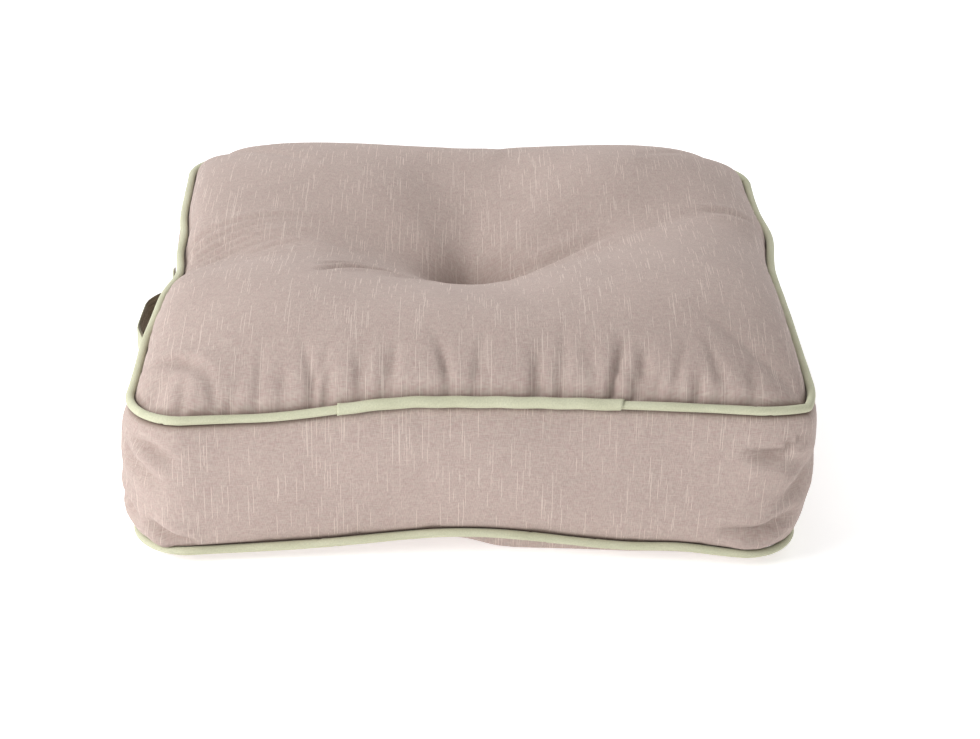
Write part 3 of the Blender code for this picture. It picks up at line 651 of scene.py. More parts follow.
def top_shape(u, v):
    """The top panel: crowned, in four lobes, drawn down in the middle by the tuft."""
    place, seam, reach, _, _ = panel_plan(u, v, "top")
    x, y = place.T
    mean = 0.1270
    level = mean + (seam - mean) * reach ** 3
    power = np.where(u > 0, 4.6, 3.6)
    crown = ((1 - np.abs(u) ** power) * (1 - np.abs(v) ** 3.3)) ** 0.37
    radius = np.hypot(x, y)
    # the valleys run from the tuft to the kinks in the side seams, and more faintly front and back
    tilt = np.where(x < 0, 0.07 * np.abs(x), 0.30 * np.abs(x) * np.abs(u))
    angle = np.arctan2(y - tilt, x)
    inside = 1 - bell(radius, 0.045)
    across = np.abs(np.cos(angle)) ** 9 * np.where(x < 0, 0.07, 0.29)
    lengthways = np.abs(np.sin(angle)) ** 8 * np.where(y > 0, 0.36, 0.04)
    lobes = 1 - (across + lengthways) * inside * (1 - 0.5 * reach ** 4)
    front_full = 0.0030 * bell(y + 0.135, 0.085)
    back_full = 0.0030 * bell(y - 0.150, 0.070)
    back_left = 0.0050 * bell(y - 0.150, 0.080) * bell(x + 0.100, 0.090)
    rise = (CROWN_RISE + front_full + back_full - back_left) * crown * lobes
    # and the cloth is drawn in next to the left side's kink
    rise = rise * (1 - 0.48 * bell(y + 0.024, 0.042) * ease((-x - 0.120) / 0.110))
    # the drop at the tuft is longer on the back's side than on the front's
    bowl_reach = BOWL_SPREAD * (1.04 + 0.08 * ease((y + 0.02) / 0.10))
    away = np.maximum(0, radius - TUFT_SEAT)
    wide = np.maximum(0, np.hypot(np.where(x < 0, 0.76, 1.0) * x, y) - TUFT_SEAT)
    tuft = BOWL_DEPTH * bell(wide, bowl_reach, 1.7)
    tuft = tuft + TUFT_DEPTH * bell(away, TUFT_SPREAD, 1.4)
    height = level + rise - tuft - SEAM_DROP * reach ** 40
    return np.column_stack([place, height])


def bottom_shape(u, v):
    """The bottom panel: flat on the floor, up to the seam at its edge, drawn in by the tuft."""
    place, seam, reach, number, along = panel_plan(u, v, "bottom")
    edge = np.clip((reach - 0.86) / 0.14, 0, 1)
    front = np.where(number == 0, 1.0, 0.35) * (1 - along ** 2)
    # on the front's left half the cloth runs up to the seam more slowly, so it does not hang down
    slack = np.where(number == 0, ease((place[:, 0] + 0.015) / 0.050), 1.0)
    belly = -0.0105 * np.sin(math.pi * edge) * np.clip(front, 0, 1) * edge * slack
    slow = 0.68 * edge ** 1.1 + 0.32 * edge ** 12
    lift = (seam + SEAM_DROP) * (slack * edge ** 3.2 + (1 - slack) * slow) + belly
    radius = np.linalg.norm(place, axis=1)
    near = np.clip(np.maximum(0, radius - TUFT_SEAT) / 0.034, 0, 1)
    recess = 0.012 * (1 - near ** 2) ** 2
    return np.column_stack([place, np.maximum(lift, 0.0) + recess])


def band_shape(number, along):
    """Rows of the side band from the top seam to the bottom one, at these places on a side."""
    top = seam_points(number, along, "top")
    bottom = seam_points(number, along, "bottom")
    step = 1e-3
    run = seam_points(number, along + step, "top") - seam_points(number, along - step, "top")
    out = np.stack([run[:, 1], -run[:, 0]], -1)
    out /= np.linalg.norm(out, axis=1)[:, None]
    edge = [(SEAM_OUT, -SEAM_DROP), (0.0004, -0.0040), (0.0020, -0.0070), (0.0031, -0.0115)]
    edge_share = [0.0, 0.02, 0.055, 0.10]
    middle = np.linspace(0.15, 0.85, BAND_ROWS - 8)
    # the band stands out further at the front left corner, and less at the front right one
    corner = np.clip((np.abs(along) - 0.55) / 0.45, 0, 1)
    fuller = {0: np.where(along < 0, 0.0040, 0.0015), 3: np.where(along > 0, 0.0040, 0.0),
              1: np.where(along < 0, 0.0030, 0.0), 2: 0.0}[number] * ease(corner)
    rows = []
    for half in ("top", "middle", "bottom"):
        if half == "middle":
            for share in middle:
                bulge = 0.0050 + fuller
                round_off = 1 - np.abs(2 * share - 1) ** 2.6 * 0.40
                plan = top[:, :2] + (bottom[:, :2] - top[:, :2]) * share
                height = (top[:, 2] - 0.0046) + (bottom[:, 2] - top[:, 2] + 0.0092) * share
                rows.append((plan + out * (bulge * round_off)[:, None], height))
        else:
            base = top if half == "top" else bottom
            sign = 1 if half == "top" else -1
            order = edge if half == "top" else edge[::-1]
            for distance, drop in order:
                extra = fuller * max(0.0, distance / 0.005)
                rows.append((base[:, :2] + out * (distance + extra)[:, None],
                             base[:, 2] + drop * sign))
    shares = edge_share + list(middle) + [1 - share for share in edge_share[::-1]]
    return [np.column_stack([plan, height]) for plan, height in rows], shares


def build_cover():
    """The whole cover as one closed mesh, its cloth coordinates, and what its points belong to."""
    lines = cut_lines()
    count = len(lines)
    grid_u, grid_v = [axis.ravel() for axis in np.meshgrid(lines, lines, indexing="ij")]
    top = top_shape(grid_u, grid_v)
    bottom = bottom_shape(grid_u, grid_v)
    points = list(top)
    part = ["top"] * len(top)
    index = np.arange(count * count).reshape(count, count)

    # the border of the grid in the seam's own direction, from the front left corner
    ring = (
        [(i, 0) for i in range(count - 1)] + [(count - 1, i) for i in range(count - 1)]
        + [(i, count - 1) for i in range(count - 1, 0, -1)]
        + [(0, i) for i in range(count - 1, 0, -1)])
    seam = [index[spot] for spot in ring]
    length = len(seam)
    spots = []
    for number in range(4):
        spots += [(number, lines[i]) for i in range(count - 1)]

    # band rows, the first being the top panel's border
    band_rows = []
    for number in range(4):
        along = np.array([place for side, place in spots if side == number])
        rows, shares = band_shape(number, along)
        band_rows.append(rows)
    row_count = len(shares)
    rows = [np.vstack([band_rows[number][row] for number in range(4)])
            for row in range(row_count)]
    for spot, place in zip(seam, rows[0]):
        points[spot] = place
        part[spot] = "seam"
    ring_index = [list(seam)]
    for row in range(1, row_count):
        start = len(points)
        points += list(rows[row])
        part += ["seam" if row == row_count - 1 else "band"] * length
        ring_index.append(list(range(start, start + length)))

    # the bottom panel shares the band's last row
    low = np.full((count, count), -1)
    for spot, number in zip(ring, ring_index[-1]):
        low[spot] = number
    for i in range(count):
        for j in range(count):
            if low[i, j] < 0:
                low[i, j] = len(points)
                points.append(bottom[index[i, j]])
                part.append("bottom")

    faces, uvs = [], []
    for i in range(count - 1):
        for j in range(count - 1):
            for grid, shift, turned in ((index, 0, False), (low, 2, True)):
                corners = [grid[i, j], grid[i + 1, j], grid[i + 1, j + 1], grid[i, j + 1]]
                if turned:
                    corners.reverse()
                faces.append(tuple(corners))
                uvs += [(points[corner][0] * CUT_EASE + shift, points[corner][1] * CUT_EASE)
                        for corner in corners]
    mean_ring = rows[row_count // 2]
    closed = np.vstack([mean_ring, mean_ring[:1]])
    run = run_along(closed) + 4
    depth = (1 - np.array(shares)) * BAND_DEPTH + 1
    for row in range(row_count - 1):
        for spot in range(length):
            after = (spot + 1) % length
            faces.append((ring_index[row][spot], ring_index[row + 1][spot],
                          ring_index[row + 1][after], ring_index[row][after]))
            uvs += [(run[spot], depth[row]), (run[spot], depth[row + 1]),
                    (run[spot + 1], depth[row + 1]), (run[spot + 1], depth[row])]
    cover = add_mesh("cushion_cover", points, faces, uvs)
    return cover, np.array(points), np.array(part)


# ---- stuffing -----------------------------------------------------------------------------------


def cut_shape(base, part):
    """The cloth as it was cut: a little wide of the seams, and with no dip for the tuft."""
    wide = base.copy()
    top = part == "top"
    spread = 1 + 0.035 * bell(base[:, 1] + 0.22, 0.10) + 0.012
    wide[:, 0] = np.where(top, base[:, 0] * spread, base[:, 0])
    away = np.maximum(0, np.linalg.norm(base[:, :2], axis=1) - TUFT_SEAT)
    fill = BOWL_DEPTH * 0.45 * bell(away, BOWL_SPREAD * 0.6)
    wide[:, 2] = np.where(top, base[:, 2] + fill, base[:, 2])
    middle = np.array([0, 0, 0.068])
    larger = (base - middle) * np.array([1.012, 1.012, 1.02]) + middle
    return np.where((part == "band")[:, None], larger, wide)


def stuffed(cover, base, part):
    """Blows the cover up as cloth, held at its seams, its tuft and the floor."""
    held = cover.vertex_groups.new(name="held")
    radius = np.linalg.norm(base[:, :2], axis=1)
    flat = np.abs(base[:, :2]).max(axis=1) < HALF_WIDTH * 0.86
    zip_strip = (base[:, 1] > 0.24) & (np.abs(base[:, 0]) < ZIP_SEAM) & (part == "band") & (
        np.abs(base[:, 2] - ZIP_HEIGHT) < 0.016)
    fixed = (part == "seam") | ((part == "bottom") & flat) | (radius < TUFT_SEAT) | zip_strip
    held.add([int(i) for i in np.flatnonzero(fixed)], 1.0, "REPLACE")

    cover.shape_key_add(name="sewn", from_mix=False)
    cut = cover.shape_key_add(name="cut", from_mix=False)
    cut.data.foreach_set("co", cut_shape(base, part).astype(np.float32).ravel())

    cloth = cover.modifiers.new("stuffing", "CLOTH")
    for name, value in {
        "quality": 7, "mass": 0.25, "tension_stiffness": 22, "compression_stiffness": 22,
        "shear_stiffness": 8, "bending_stiffness": 0.12, "tension_damping": 12,
        "compression_damping": 12, "shear_damping": 8, "air_damping": 2.0,
        "vertex_group_mass": "held", "use_pressure": True, "uniform_pressure_force": 4.0,
        "rest_shape_key": cut,
    }.items():
        setattr(cloth.settings, name, value)
    cloth.settings.effector_weights.gravity = 0.0
    cloth.collision_settings.use_collision = False
    cloth.collision_settings.use_self_collision = False
    scene = bpy.context.scene
    for span in (scene, cloth.point_cache):
        span.frame_start, span.frame_end = 1, STUFFING_FRAMES
    for number in range(1, STUFFING_FRAMES + 1):
        scene.frame_set(number)
    settle_modifiers(cover)
    scene.frame_set(1)
    return points_of(cover)


def limited(base, moved, part):
    """The stuffed shape, kept near the sewn one: least where the strap and the zip sit."""
    shift = moved - base
    handle = bell(base[:, 1] - HANDLE_CENTRE_Y, 0.115, 4) * (base[:, 0] < -0.2)
    back = (base[:, 1] > 0.235) & (np.abs(base[:, 0]) < ZIP_SEAM + 0.004)
    cap = np.where(part == "top", 0.013, 0.0055)
    cap = np.where(part == "band", np.where(back, 0.0012, cap * (1 - 0.85 * handle)), cap)
    length = np.linalg.norm(shift, axis=1)
    keep = cap * np.tanh(length / cap) / np.maximum(length, 1e-9)
    return base + shift * keep[:, None]


# ---- folds --------------------------------------------------------------------------------------


def fold_depth(points, line, width, depth):
    """How deep a soft fold along a line of points lies at each of these points."""
    line = np.asarray(line, float)
    run = run_along(line)
    best = np.full(len(points), 1e9)
    spot = np.zeros(len(points))
    for start, end, before, after in zip(line[:-1], line[1:], run[:-1], run[1:]):
        length = after - before
        along = np.clip((points - start) @ (end - start) / length ** 2, 0, 1)
        away = np.linalg.norm(points - (start + along[:, None] * (end - start)), axis=1)
        closer = away < best
        best = np.where(closer, away, best)
        spot = np.where(closer, (before + along * length) / run[-1], spot)
    taper = np.sin(math.pi * np.clip(spot, 0.0, 1)) ** 0.8
    return depth * taper * (bell(best, width) - 0.45 * bell(best - width * 1.7, width))


def curve_through(start, middle, end, count=10):
    t = np.linspace(0, 1, count)[:, None]
    start, middle, end = (np.array(point, float) for point in (start, middle, end))
    return (1 - t) ** 2 * start + 2 * t * (1 - t) * middle + t ** 2 * end


def pucker(chance, along, inside, spot, widths, reaches, depths, lean, rim):
    """A short fold that runs in from a seam and dies out."""
    width, reach, deep = (chance.uniform(*limits) for limits in (widths, reaches, depths))
    line = along - spot - chance.uniform(-lean, lean) * inside
    fade = np.clip(inside / rim, 0, 1) * np.clip(1 - inside / reach, 0, 1) ** 1.3
    return deep * fade * bell(line, width)


def side_places(number, points):
    """How far along a side each point lies, and how far out on it."""
    out_x, out_y = OUTWARD[SIDES[number]]
    return points[:, 1] * out_x - points[:, 0] * out_y, points[:, 0] * out_x + points[:, 1] * out_y


# start, bend and end of each crease on the top, its width and its depth
TOP_CREASES = (
    ((-0.045, -0.052), (-0.085, -0.050), (-0.122, -0.090), 0.0038, 0.0038),
    ((-0.050, -0.040), (-0.088, -0.037), (-0.120, -0.070), 0.0036, 0.0026),
    ((0.012, -0.004), (0.055, 0.002), (0.120, 0.030), 0.0075, 0.0036),
    ((-0.006, -0.012), (-0.030, -0.050), (-0.075, -0.085), 0.0065, 0.0014),
    ((0.005, -0.013), (0.022, -0.050), (0.060, -0.090), 0.0070, 0.0012),
    ((0.190, 0.055), (0.215, 0.060), (0.238, 0.062), 0.0050, 0.0020),
    ((-0.232, -0.205), (-0.205, -0.205), (-0.190, -0.232), 0.0050, 0.0030),
)
# and on the band, corner by corner: front left, front right, the back ones and the right side
BAND_CREASES = (
    ((-0.234, -0.243, 0.040), (-0.226, -0.247, 0.029), (-0.200, -0.246, 0.020), 0.0060, 0.0075),
    ((-0.255, -0.205, 0.052), (-0.249, -0.228, 0.042), (-0.238, -0.241, 0.034), 0.0060, 0.0050),
    ((-0.250, -0.232, 0.106), (-0.234, -0.247, 0.098), (-0.210, -0.251, 0.086), 0.0058, 0.0055),
    ((-0.254, -0.222, 0.094), (-0.242, -0.243, 0.082), (-0.222, -0.252, 0.068), 0.0065, 0.0040),
    ((0.196, -0.250, 0.110), (0.214, -0.253, 0.104), (0.240, -0.244, 0.112), 0.0060, 0.0060),
    ((0.206, -0.252, 0.098), (0.226, -0.249, 0.090), (0.246, -0.236, 0.094), 0.0065, 0.0035),
    ((0.184, -0.250, 0.031), (0.210, -0.250, 0.032), (0.240, -0.236, 0.046), 0.0060, 0.0080),
    ((0.222, -0.249, 0.050), (0.238, -0.240, 0.068), (0.250, -0.222, 0.088), 0.0090, 0.0045),
    ((0.243, 0.222, 0.034), (0.238, 0.240, 0.031), (0.216, 0.250, 0.025), 0.0060, 0.0060),
    ((-0.251, 0.216, 0.036), (-0.242, 0.240, 0.030), (-0.218, 0.252, 0.023), 0.0060, 0.0065),
    ((0.254, 0.200, 0.098), (0.248, 0.228, 0.104), (0.232, 0.246, 0.106), 0.0070, 0.0045),
    ((-0.255, 0.186, 0.096), (-0.248, 0.228, 0.104), (-0.232, 0.246, 0.106), 0.0070, 0.0045),
    ((0.252, -0.150, 0.030), (0.250, -0.190, 0.036), (0.248, -0.215, 0.048), 0.0070, 0.0040),
    ((0.253, 0.060, 0.112), (0.256, 0.075, 0.090), (0.256, 0.070, 0.060), 0.0080, 0.0030),
)


def top_folds(points):
    """Gathers over the front piping, drag lines from the left kink and creases at the tuft."""
    chance = np.random.default_rng(SEED)
    plan = points[:, :2]
    depth = np.zeros(len(points))
    inside = plan[:, 1] - seam_points(0, plan[:, 0] / HALF_PATH, "top")[:, 1]
    spots = np.concatenate([chance.uniform(*group) for group in (
        (-0.21, -0.09, 11), (-0.10, -0.02, 5), (-0.02, 0.12, 14), (0.10, 0.225, 15))])
    for spot in spots:
        width, reach, deep, lean, begin = (chance.uniform(*limits) for limits in (
            (0.0024, 0.0052), (0.012, 0.048), (0.0012, 0.0036), (-0.45, 0.45), (0.0, 0.010)))
        share = np.clip((inside - begin) / reach, 0, 1)
        fade = np.clip(inside / 0.004, 0, 1) * np.minimum(1, share * 6 + 0.4) * (1 - share) ** 1.2
        depth += deep * fade * bell(plan[:, 0] - spot - lean * inside, width)
    # fine drag lines from the left side's kink, fanning inward
    for share in np.arange(9) / 8:
        start = (-0.240, 0.004 - 0.100 * share)
        bend = (-0.208 + 0.010 * share, 0.030 - 0.075 * share)
        end = (-0.110 - 0.020 * share, 0.040 - 0.050 * share)
        width, deep = chance.uniform(0.0032, 0.0044), chance.uniform(0.0020, 0.0034)
        depth += fold_depth(plan, curve_through(start, bend, end), width, deep)
    for start, bend, end, width, deep in TOP_CREASES:
        depth += fold_depth(plan, curve_through(start, bend, end), width, deep)
    # puckers along the other three seams
    for number in (1, 2, 3):
        along, out = side_places(number, plan)
        inside = side_places(number, seam_points(number, along / HALF_PATH, "top"))[1] - out
        for spot in chance.uniform(-0.21, 0.21, 20):
            depth += pucker(chance, along, inside, spot, (0.0035, 0.0070), (0.014, 0.040),
                            (0.0005, 0.0016), 0.4, 0.004)
    return depth


def band_folds(points):
    """Slack folds at the band's corners and small puckers next to its seams."""
    chance = np.random.default_rng(SEED + 1)
    depth = np.zeros(len(points))
    for start, bend, end, width, deep in BAND_CREASES:
        # each crease follows the band's own surface
        line = [points[np.argmin(np.linalg.norm(points - spot, axis=1))]
                for spot in curve_through(start, bend, end, 7)]
        depth += fold_depth(points, line, width, deep)
    free = ~((points[:, 1] > 0.24) & (np.abs(points[:, 0]) < ZIP_SEAM))
    for number in (0, 1, 3):
        along, out = side_places(number, points)
        top, low = (seam_points(number, along / HALF_PATH, level)[:, 2]
                    for level in ("top", "bottom"))
        for below in (top - points[:, 2], points[:, 2] - low):
            for spot in chance.uniform(-0.22, 0.22, 16):
                fold = pucker(chance, along, below, spot, (0.0040, 0.0080), (0.010, 0.028),
                              (0.0003, 0.0010), 0.3, 0.005)
                depth += np.where((out > 0.225) & free, fold, 0)
    return depth


def cleared_of_piping(points, amount=0.00045):
    """Moves points in the piping out to its surface; also how much painted shade each one gets in the
    crevice next to the piping.
    """
    painted_shade = np.zeros(len(points))
    for level in ("top", "bottom"):
        ring = even_ring(level, 0.0010)[0]
        tree = search_tree(ring)
        for number in np.flatnonzero(np.abs(points[:, 2] - ring[:, 2].mean()) < 0.03):
            spot, _, away = tree.find(points[number])
            gap = max(0.0, away - PIPING_RADIUS)
            # painted shade, darkest where the cloth meets the piping and fading within a few
            # millimetres
            painted_shade[number] = max(painted_shade[number], math.exp(-(gap / 0.0023) ** 2))
            push = Vector(points[number]) - spot
            if away < PIPING_RADIUS + amount and push.length > 1e-6:
                points[number] = spot + push.normalized() * (PIPING_RADIUS + amount)
    return points, painted_shade


# ---- piping -------------------------------------------------------------------------------------


def build_piping(name, level, bias_seams):
    """A corded bias tube in the seam, with a slanted join groove at each bias seam."""
    chance = np.random.default_rng(SEED + (2 if level == "top" else 3))
    ring, out, run, total = even_ring(level, PIPING_STEP)
    count = len(ring)
    ripple = np.zeros(count)
    for wave in range(3, 60, 4):
        ripple += chance.normal(0, 1) * np.cos(
            run / total * 2 * math.pi * wave + chance.uniform(0, 6.28)) / wave ** 0.5
    ripple = ripple / np.abs(ripple).max() * 0.00022
    ahead = np.roll(ring, -1, 0) - np.roll(ring, 1, 0)
    ahead /= np.linalg.norm(ahead, axis=1)[:, None]
    up = np.cross(ahead, -out)
    up *= np.sign(up[:, 2])[:, None]
    points = np.zeros((count, PIPING_SIDES, 3))
    for side in range(PIPING_SIDES):
        turn = side / PIPING_SIDES * 2 * math.pi
        radius = PIPING_RADIUS - 0.00025 + ripple
        for spot in bias_seams:
            off = (run - spot - PIPING_RADIUS * (turn - math.pi)) / 0.0011
            radius = radius - 0.00060 * bell(off, 1) + 0.00022 * bell(off - 2.2, 1)
        points[:, side] = ring + (out * math.cos(turn) + up * math.sin(turn)) * radius[:, None]
    faces, corners = quads(count, PIPING_SIDES, ring_rows=True)
    around = PIPING_RADIUS * 2 * math.pi / PIPING_SIDES
    shift = 0.0 if level == "top" else 3.0
    uvs = [(spot * total / count + shift, side * around) for spot, side in corners]
    return finished(add_mesh(name, points.reshape(-1, 3), faces, uvs), piping_cotton)


def build_sleeve():
    """The piece of bias cloth wrapped over the piping where its two ends meet, at the front."""
    turns = np.linspace(*np.radians(SLEEVE_TURNS), 18)
    xs = np.arange(SLEEVE_FROM, SLEEVE_TO + PIPING_STEP / 2, PIPING_STEP)
    share = (xs - xs[0]) / (xs[-1] - xs[0])
    dense = seam_points(0, np.linspace(-1, 1, 2000), "top")
    rows = []
    for turn in turns:
        # the left end is square, the right one very slightly on the slant
        places = xs + (turn - math.radians(50)) * 0.0009 * share ** 6
        line = np.stack([np.interp(places, dense[:, 0], dense[:, axis]) for axis in range(3)], -1)
        radius = PIPING_RADIUS + 0.00050 + 0.0002 * np.cos(places * 210 + turn)
        radius = radius + 0.00035 * bell(places - SLEEVE_FROM, 0.0022)
        rows.append(line + np.stack([
            0 * places, -np.cos(turn) * radius, np.sin(turn) * radius], -1))
    faces, corners = quads(len(turns), len(xs), ring=False)
    arc = PIPING_RADIUS * (turns[0] - turns[-1]) / (len(turns) - 1)
    uvs = [(xs[spot] + 6, row * arc) for row, spot in corners]
    sleeve = add_mesh("piping_join_sleeve", np.vstack(rows), faces, uvs)
    give_wall(sleeve, SLEEVE_WALL)
    return finished(sleeve, piping_cotton)


# ---- stitches and coils -------------------------------------------------------------------------


def run_tree(name, sizes, small_piece):
    """Geometry Nodes: one small piece set along lines of points at an even pitch."""
    tree = bpy.data.node_groups.new(name, "GeometryNodeTree")
    face = tree.interface
    face.new_socket("Geometry", in_out="INPUT", socket_type="NodeSocketGeometry")
    for label, value in sizes.items():
        face.new_socket(label, in_out="INPUT", socket_type="NodeSocketFloat").default_value = value
    face.new_socket("Finish", in_out="INPUT", socket_type="NodeSocketMaterial")
    face.new_socket("Geometry", in_out="OUTPUT", socket_type="NodeSocketGeometry")
    start, end, curve, even, place, real, finish = (tree.nodes.new(kind) for kind in (
        "NodeGroupInput", "NodeGroupOutput", "GeometryNodeMeshToCurve",
        "GeometryNodeResampleCurve", "GeometryNodeInstanceOnPoints",
        "GeometryNodeRealizeInstances", "GeometryNodeSetMaterial"))
    even.mode = "LENGTH"
    for source, target in (
        (start.outputs["Geometry"], curve.inputs["Mesh"]),
        (curve.outputs["Curve"], even.inputs["Curve"]),
        (start.outputs["Pitch"], even.inputs["Length"]),
        (even.outputs[0], place.inputs["Points"]),
        *small_piece(tree.nodes, start.outputs, place.inputs),
        (place.outputs[0], real.inputs[0]),
        (real.outputs[0], finish.inputs["Geometry"]),
        (start.outputs["Finish"], finish.inputs["Material"]),
        (finish.outputs[0], end.inputs[0]),
    ):
        tree.links.new(source, target)
    return tree


def stitch(nodes, sizes, place):
    """One stitch of thread, lying along the line."""
    tangent, align, thread, size = (nodes.new(kind) for kind in (
        "GeometryNodeInputTangent", "FunctionNodeAlignRotationToVector",
        "GeometryNodeMeshUVSphere", "ShaderNodeCombineXYZ"))
    align.axis = "Z"
    for label, value in (("Segments", 6), ("Rings", 5), ("Radius", 0.5)):
        thread.inputs[label].default_value = value
    return (
        (tangent.outputs[0], align.inputs["Vector"]),
        (thread.outputs["Mesh"], place["Instance"]),
        (align.outputs[0], place["Rotation"]),
        (sizes["Thickness"], size.inputs[0]),
        (sizes["Thickness"], size.inputs[1]),
        (sizes["Length"], size.inputs[2]),
        (size.outputs[0], place["Scale"]),
    )


def coil_loop(nodes, sizes, place):
    """One loop of a zip's coil, standing across the line."""
    loop, scale, shape, turn, wire, tube = (nodes.new(kind) for kind in (
        "GeometryNodeCurvePrimitiveCircle", "ShaderNodeCombineXYZ", "GeometryNodeTransform",
        "GeometryNodeTransform", "GeometryNodeCurvePrimitiveCircle", "GeometryNodeCurveToMesh"))
    loop.inputs["Resolution"].default_value = 8
    loop.inputs["Radius"].default_value = 0.5
    scale.inputs[2].default_value = 1.0
    turn.inputs["Rotation"].default_value = (math.radians(90), 0, math.radians(90))
    wire.inputs["Resolution"].default_value = 5
    return (
        (sizes["Width"], scale.inputs[0]),
        (sizes["Depth"], scale.inputs[1]),
        (loop.outputs["Curve"], shape.inputs["Geometry"]),
        (scale.outputs[0], shape.inputs["Scale"]),
        (shape.outputs[0], turn.inputs["Geometry"]),
        (turn.outputs[0], tube.inputs["Curve"]),
        (sizes["Wire"], wire.inputs["Radius"]),
        (wire.outputs["Curve"], tube.inputs["Profile Curve"]),
        (tube.outputs[0], place["Instance"]),
    )


def grown_on(name, lines, tree, finish, **values):
    """A plain mesh of what the tree grows along these lines of points."""
    points, edges = [], []
    for line in lines:
        start = len(points)
        points += list(line)
        edges += [(start + step, start + step + 1) for step in range(len(line) - 1)]
    thing = add_mesh(name, points, [], edges=edges)
    modifier = thing.modifiers.new("repeat", "NODES")
    modifier.node_group = tree
    values["Finish"] = finish
    for item in tree.interface.items_tree:
        if item.in_out == "INPUT" and item.name in values:
            modifier[item.identifier] = values[item.name]
    settle_modifiers(thing)
    thing.data.shade_smooth()
    return thing


stitch_tree = run_tree("stitch_run", {"Pitch": 0.003, "Length": 0.002, "Thickness": 0.0004}, stitch)
loop_tree = run_tree(
    "zip_coil_run", {"Pitch": TOOTH_PITCH, "Width": 0.0027, "Depth": 0.0015, "Wire": 0.0003},
    coil_loop)


# ---- the handle ---------------------------------------------------------------------------------


def strap_face(cover_points):
    """The band's face on the handle's side, as a smooth line of x over y at the strap's height."""
    near = (cover_points[:, 0] < -0.2) & (np.abs(cover_points[:, 2] - HANDLE_HEIGHT) < 0.016)
    ys = np.linspace(-0.16, 0.10, 53)
    xs = [cover_points[near & (np.abs(cover_points[:, 1] - y) < 0.008), 0].min() for y in ys]
    return ys, np.convolve(np.pad(xs, 3, mode="edge"), np.ones(7) / 7, "valid")


def strap_place(face, y):
    """The strap's inner face at y: on the band at its ends, standing out in a bow between."""
    ys, xs = face
    more_front, more_rear = HANDLE_LEG_MORE
    front = (y - HANDLE_CENTRE_Y + HANDLE_HALF_SPAN) / (HANDLE_LEG + more_front)
    rear = (HANDLE_CENTRE_Y + HANDLE_HALF_SPAN + more_rear - y) / (HANDLE_LEG + more_rear)
    share = ease(np.minimum(front, rear))
    spans = HANDLE_CENTRE_Y + HANDLE_HALF_SPAN * np.array([-1, 1])
    chord = np.interp(y, spans, np.interp(spans, ys, xs))
    base = np.interp(y, ys, xs) * (1 - share) + chord * share
    return base - 0.0006 - HANDLE_BOW * share


def build_strap(name, face, near, far, width, finish, ends):
    """One ply of the strap, from sewn end to sewn end, slightly cupped and with rounded edges."""
    ys = np.linspace(ends[0], ends[1], 130)
    across = np.linspace(-1, 1, 13)
    edge = (far - near) / 2
    profile = []
    for sign, shares in ((1, across), (-1, across[::-1])):
        for share in shares:
            thin = sign * edge * (1 - 0.6 * abs(share) ** 14)
            profile.append((share * width / 2, near + edge + thin - STRAP_CUP * share ** 2))
    count = len(profile)
    phase = np.random.default_rng(SEED + 5).uniform(0, 6.28, 3)
    points = []
    for y in ys:
        base = strap_place(face, y)
        sway = 0.0006 * math.sin(y * 95 + phase[0]) + 0.0004 * math.sin(y * 160 + phase[1])
        points += [(base - off, y, HANDLE_HEIGHT + up + sway) for up, off in profile]
    run = run_along(np.stack([ys, strap_place(face, ys)], -1))
    faces, corners = quads(len(ys), count)
    uvs = []
    for number, (row, spot) in enumerate(corners):
        # the band's side of the ply lies a metre along in the cloth
        first = corners[number - number % 4][1]
        uvs.append((run[row], profile[spot % count][0] + (first >= len(across))))
    for row in (0, len(ys) - 1):
        faces.append(tuple(row * count + spot for spot in range(count)))
        uvs += [(run[row], up) for up, _ in profile]
    return finished(add_mesh(name, points, faces, uvs), finish)


def build_handle(face):
    """Webbing, its facing and the stitching, bending from the band to the grip."""
    front = HANDLE_CENTRE_Y - HANDLE_HALF_SPAN
    rear = HANDLE_CENTRE_Y + HANDLE_HALF_SPAN
    ends = (front - HANDLE_END, rear + HANDLE_END)
    webbing = build_strap("handle_webbing_strap", face, 0.0, WEBBING_THICKNESS, WEBBING_WIDTH,
                          brown_webbing, ends)
    near = WEBBING_THICKNESS + 0.0001
    facing = build_strap("handle_facing_strap", face, near, near + FACING_THICKNESS,
                         FACING_WIDTH, facing_cotton, (ends[0] - 0.001, ends[1] + 0.001))
    skin = near + FACING_THICKNESS + 0.0001
    half = FACING_WIDTH / 2 - STRAP_STITCH_IN

    def stitched(ys, ups):
        """A run of stitches on the facing's cupped skin."""
        out = strap_place(face, ys) - skin + STRAP_CUP * (ups / half) ** 2
        return np.stack([out, ys, HANDLE_HEIGHT + ups], -1)

    runs = []
    ys = np.linspace(ends[0] + 0.002, ends[1] - 0.002, 160)
    for sign in (-1, 1):
        run = stitched(ys, np.full(160, sign * half))
        run[:, 0] -= STRAP_CUP - 0.00045
        runs.append(run)
    # a box with a cross in it at each sewn end
    for low, high in ((ends[0] + 0.002, front - 0.001), (rear + 0.001, ends[1] - 0.002)):
        for y in (low, high):
            runs.append(stitched(np.full(14, y), np.linspace(-half, half, 14)))
        for sign in (-1, 1):
            runs.append(stitched(np.linspace(low, high, 16), sign * np.linspace(-half, half, 16)))
    stitching = grown_on("handle_stitching", runs, stitch_tree, sage_thread,
                         Pitch=0.0030, Length=0.0024, Thickness=0.00055)
    return webbing, facing, stitching


# ---- buttons ------------------------------------------------------------------------------------


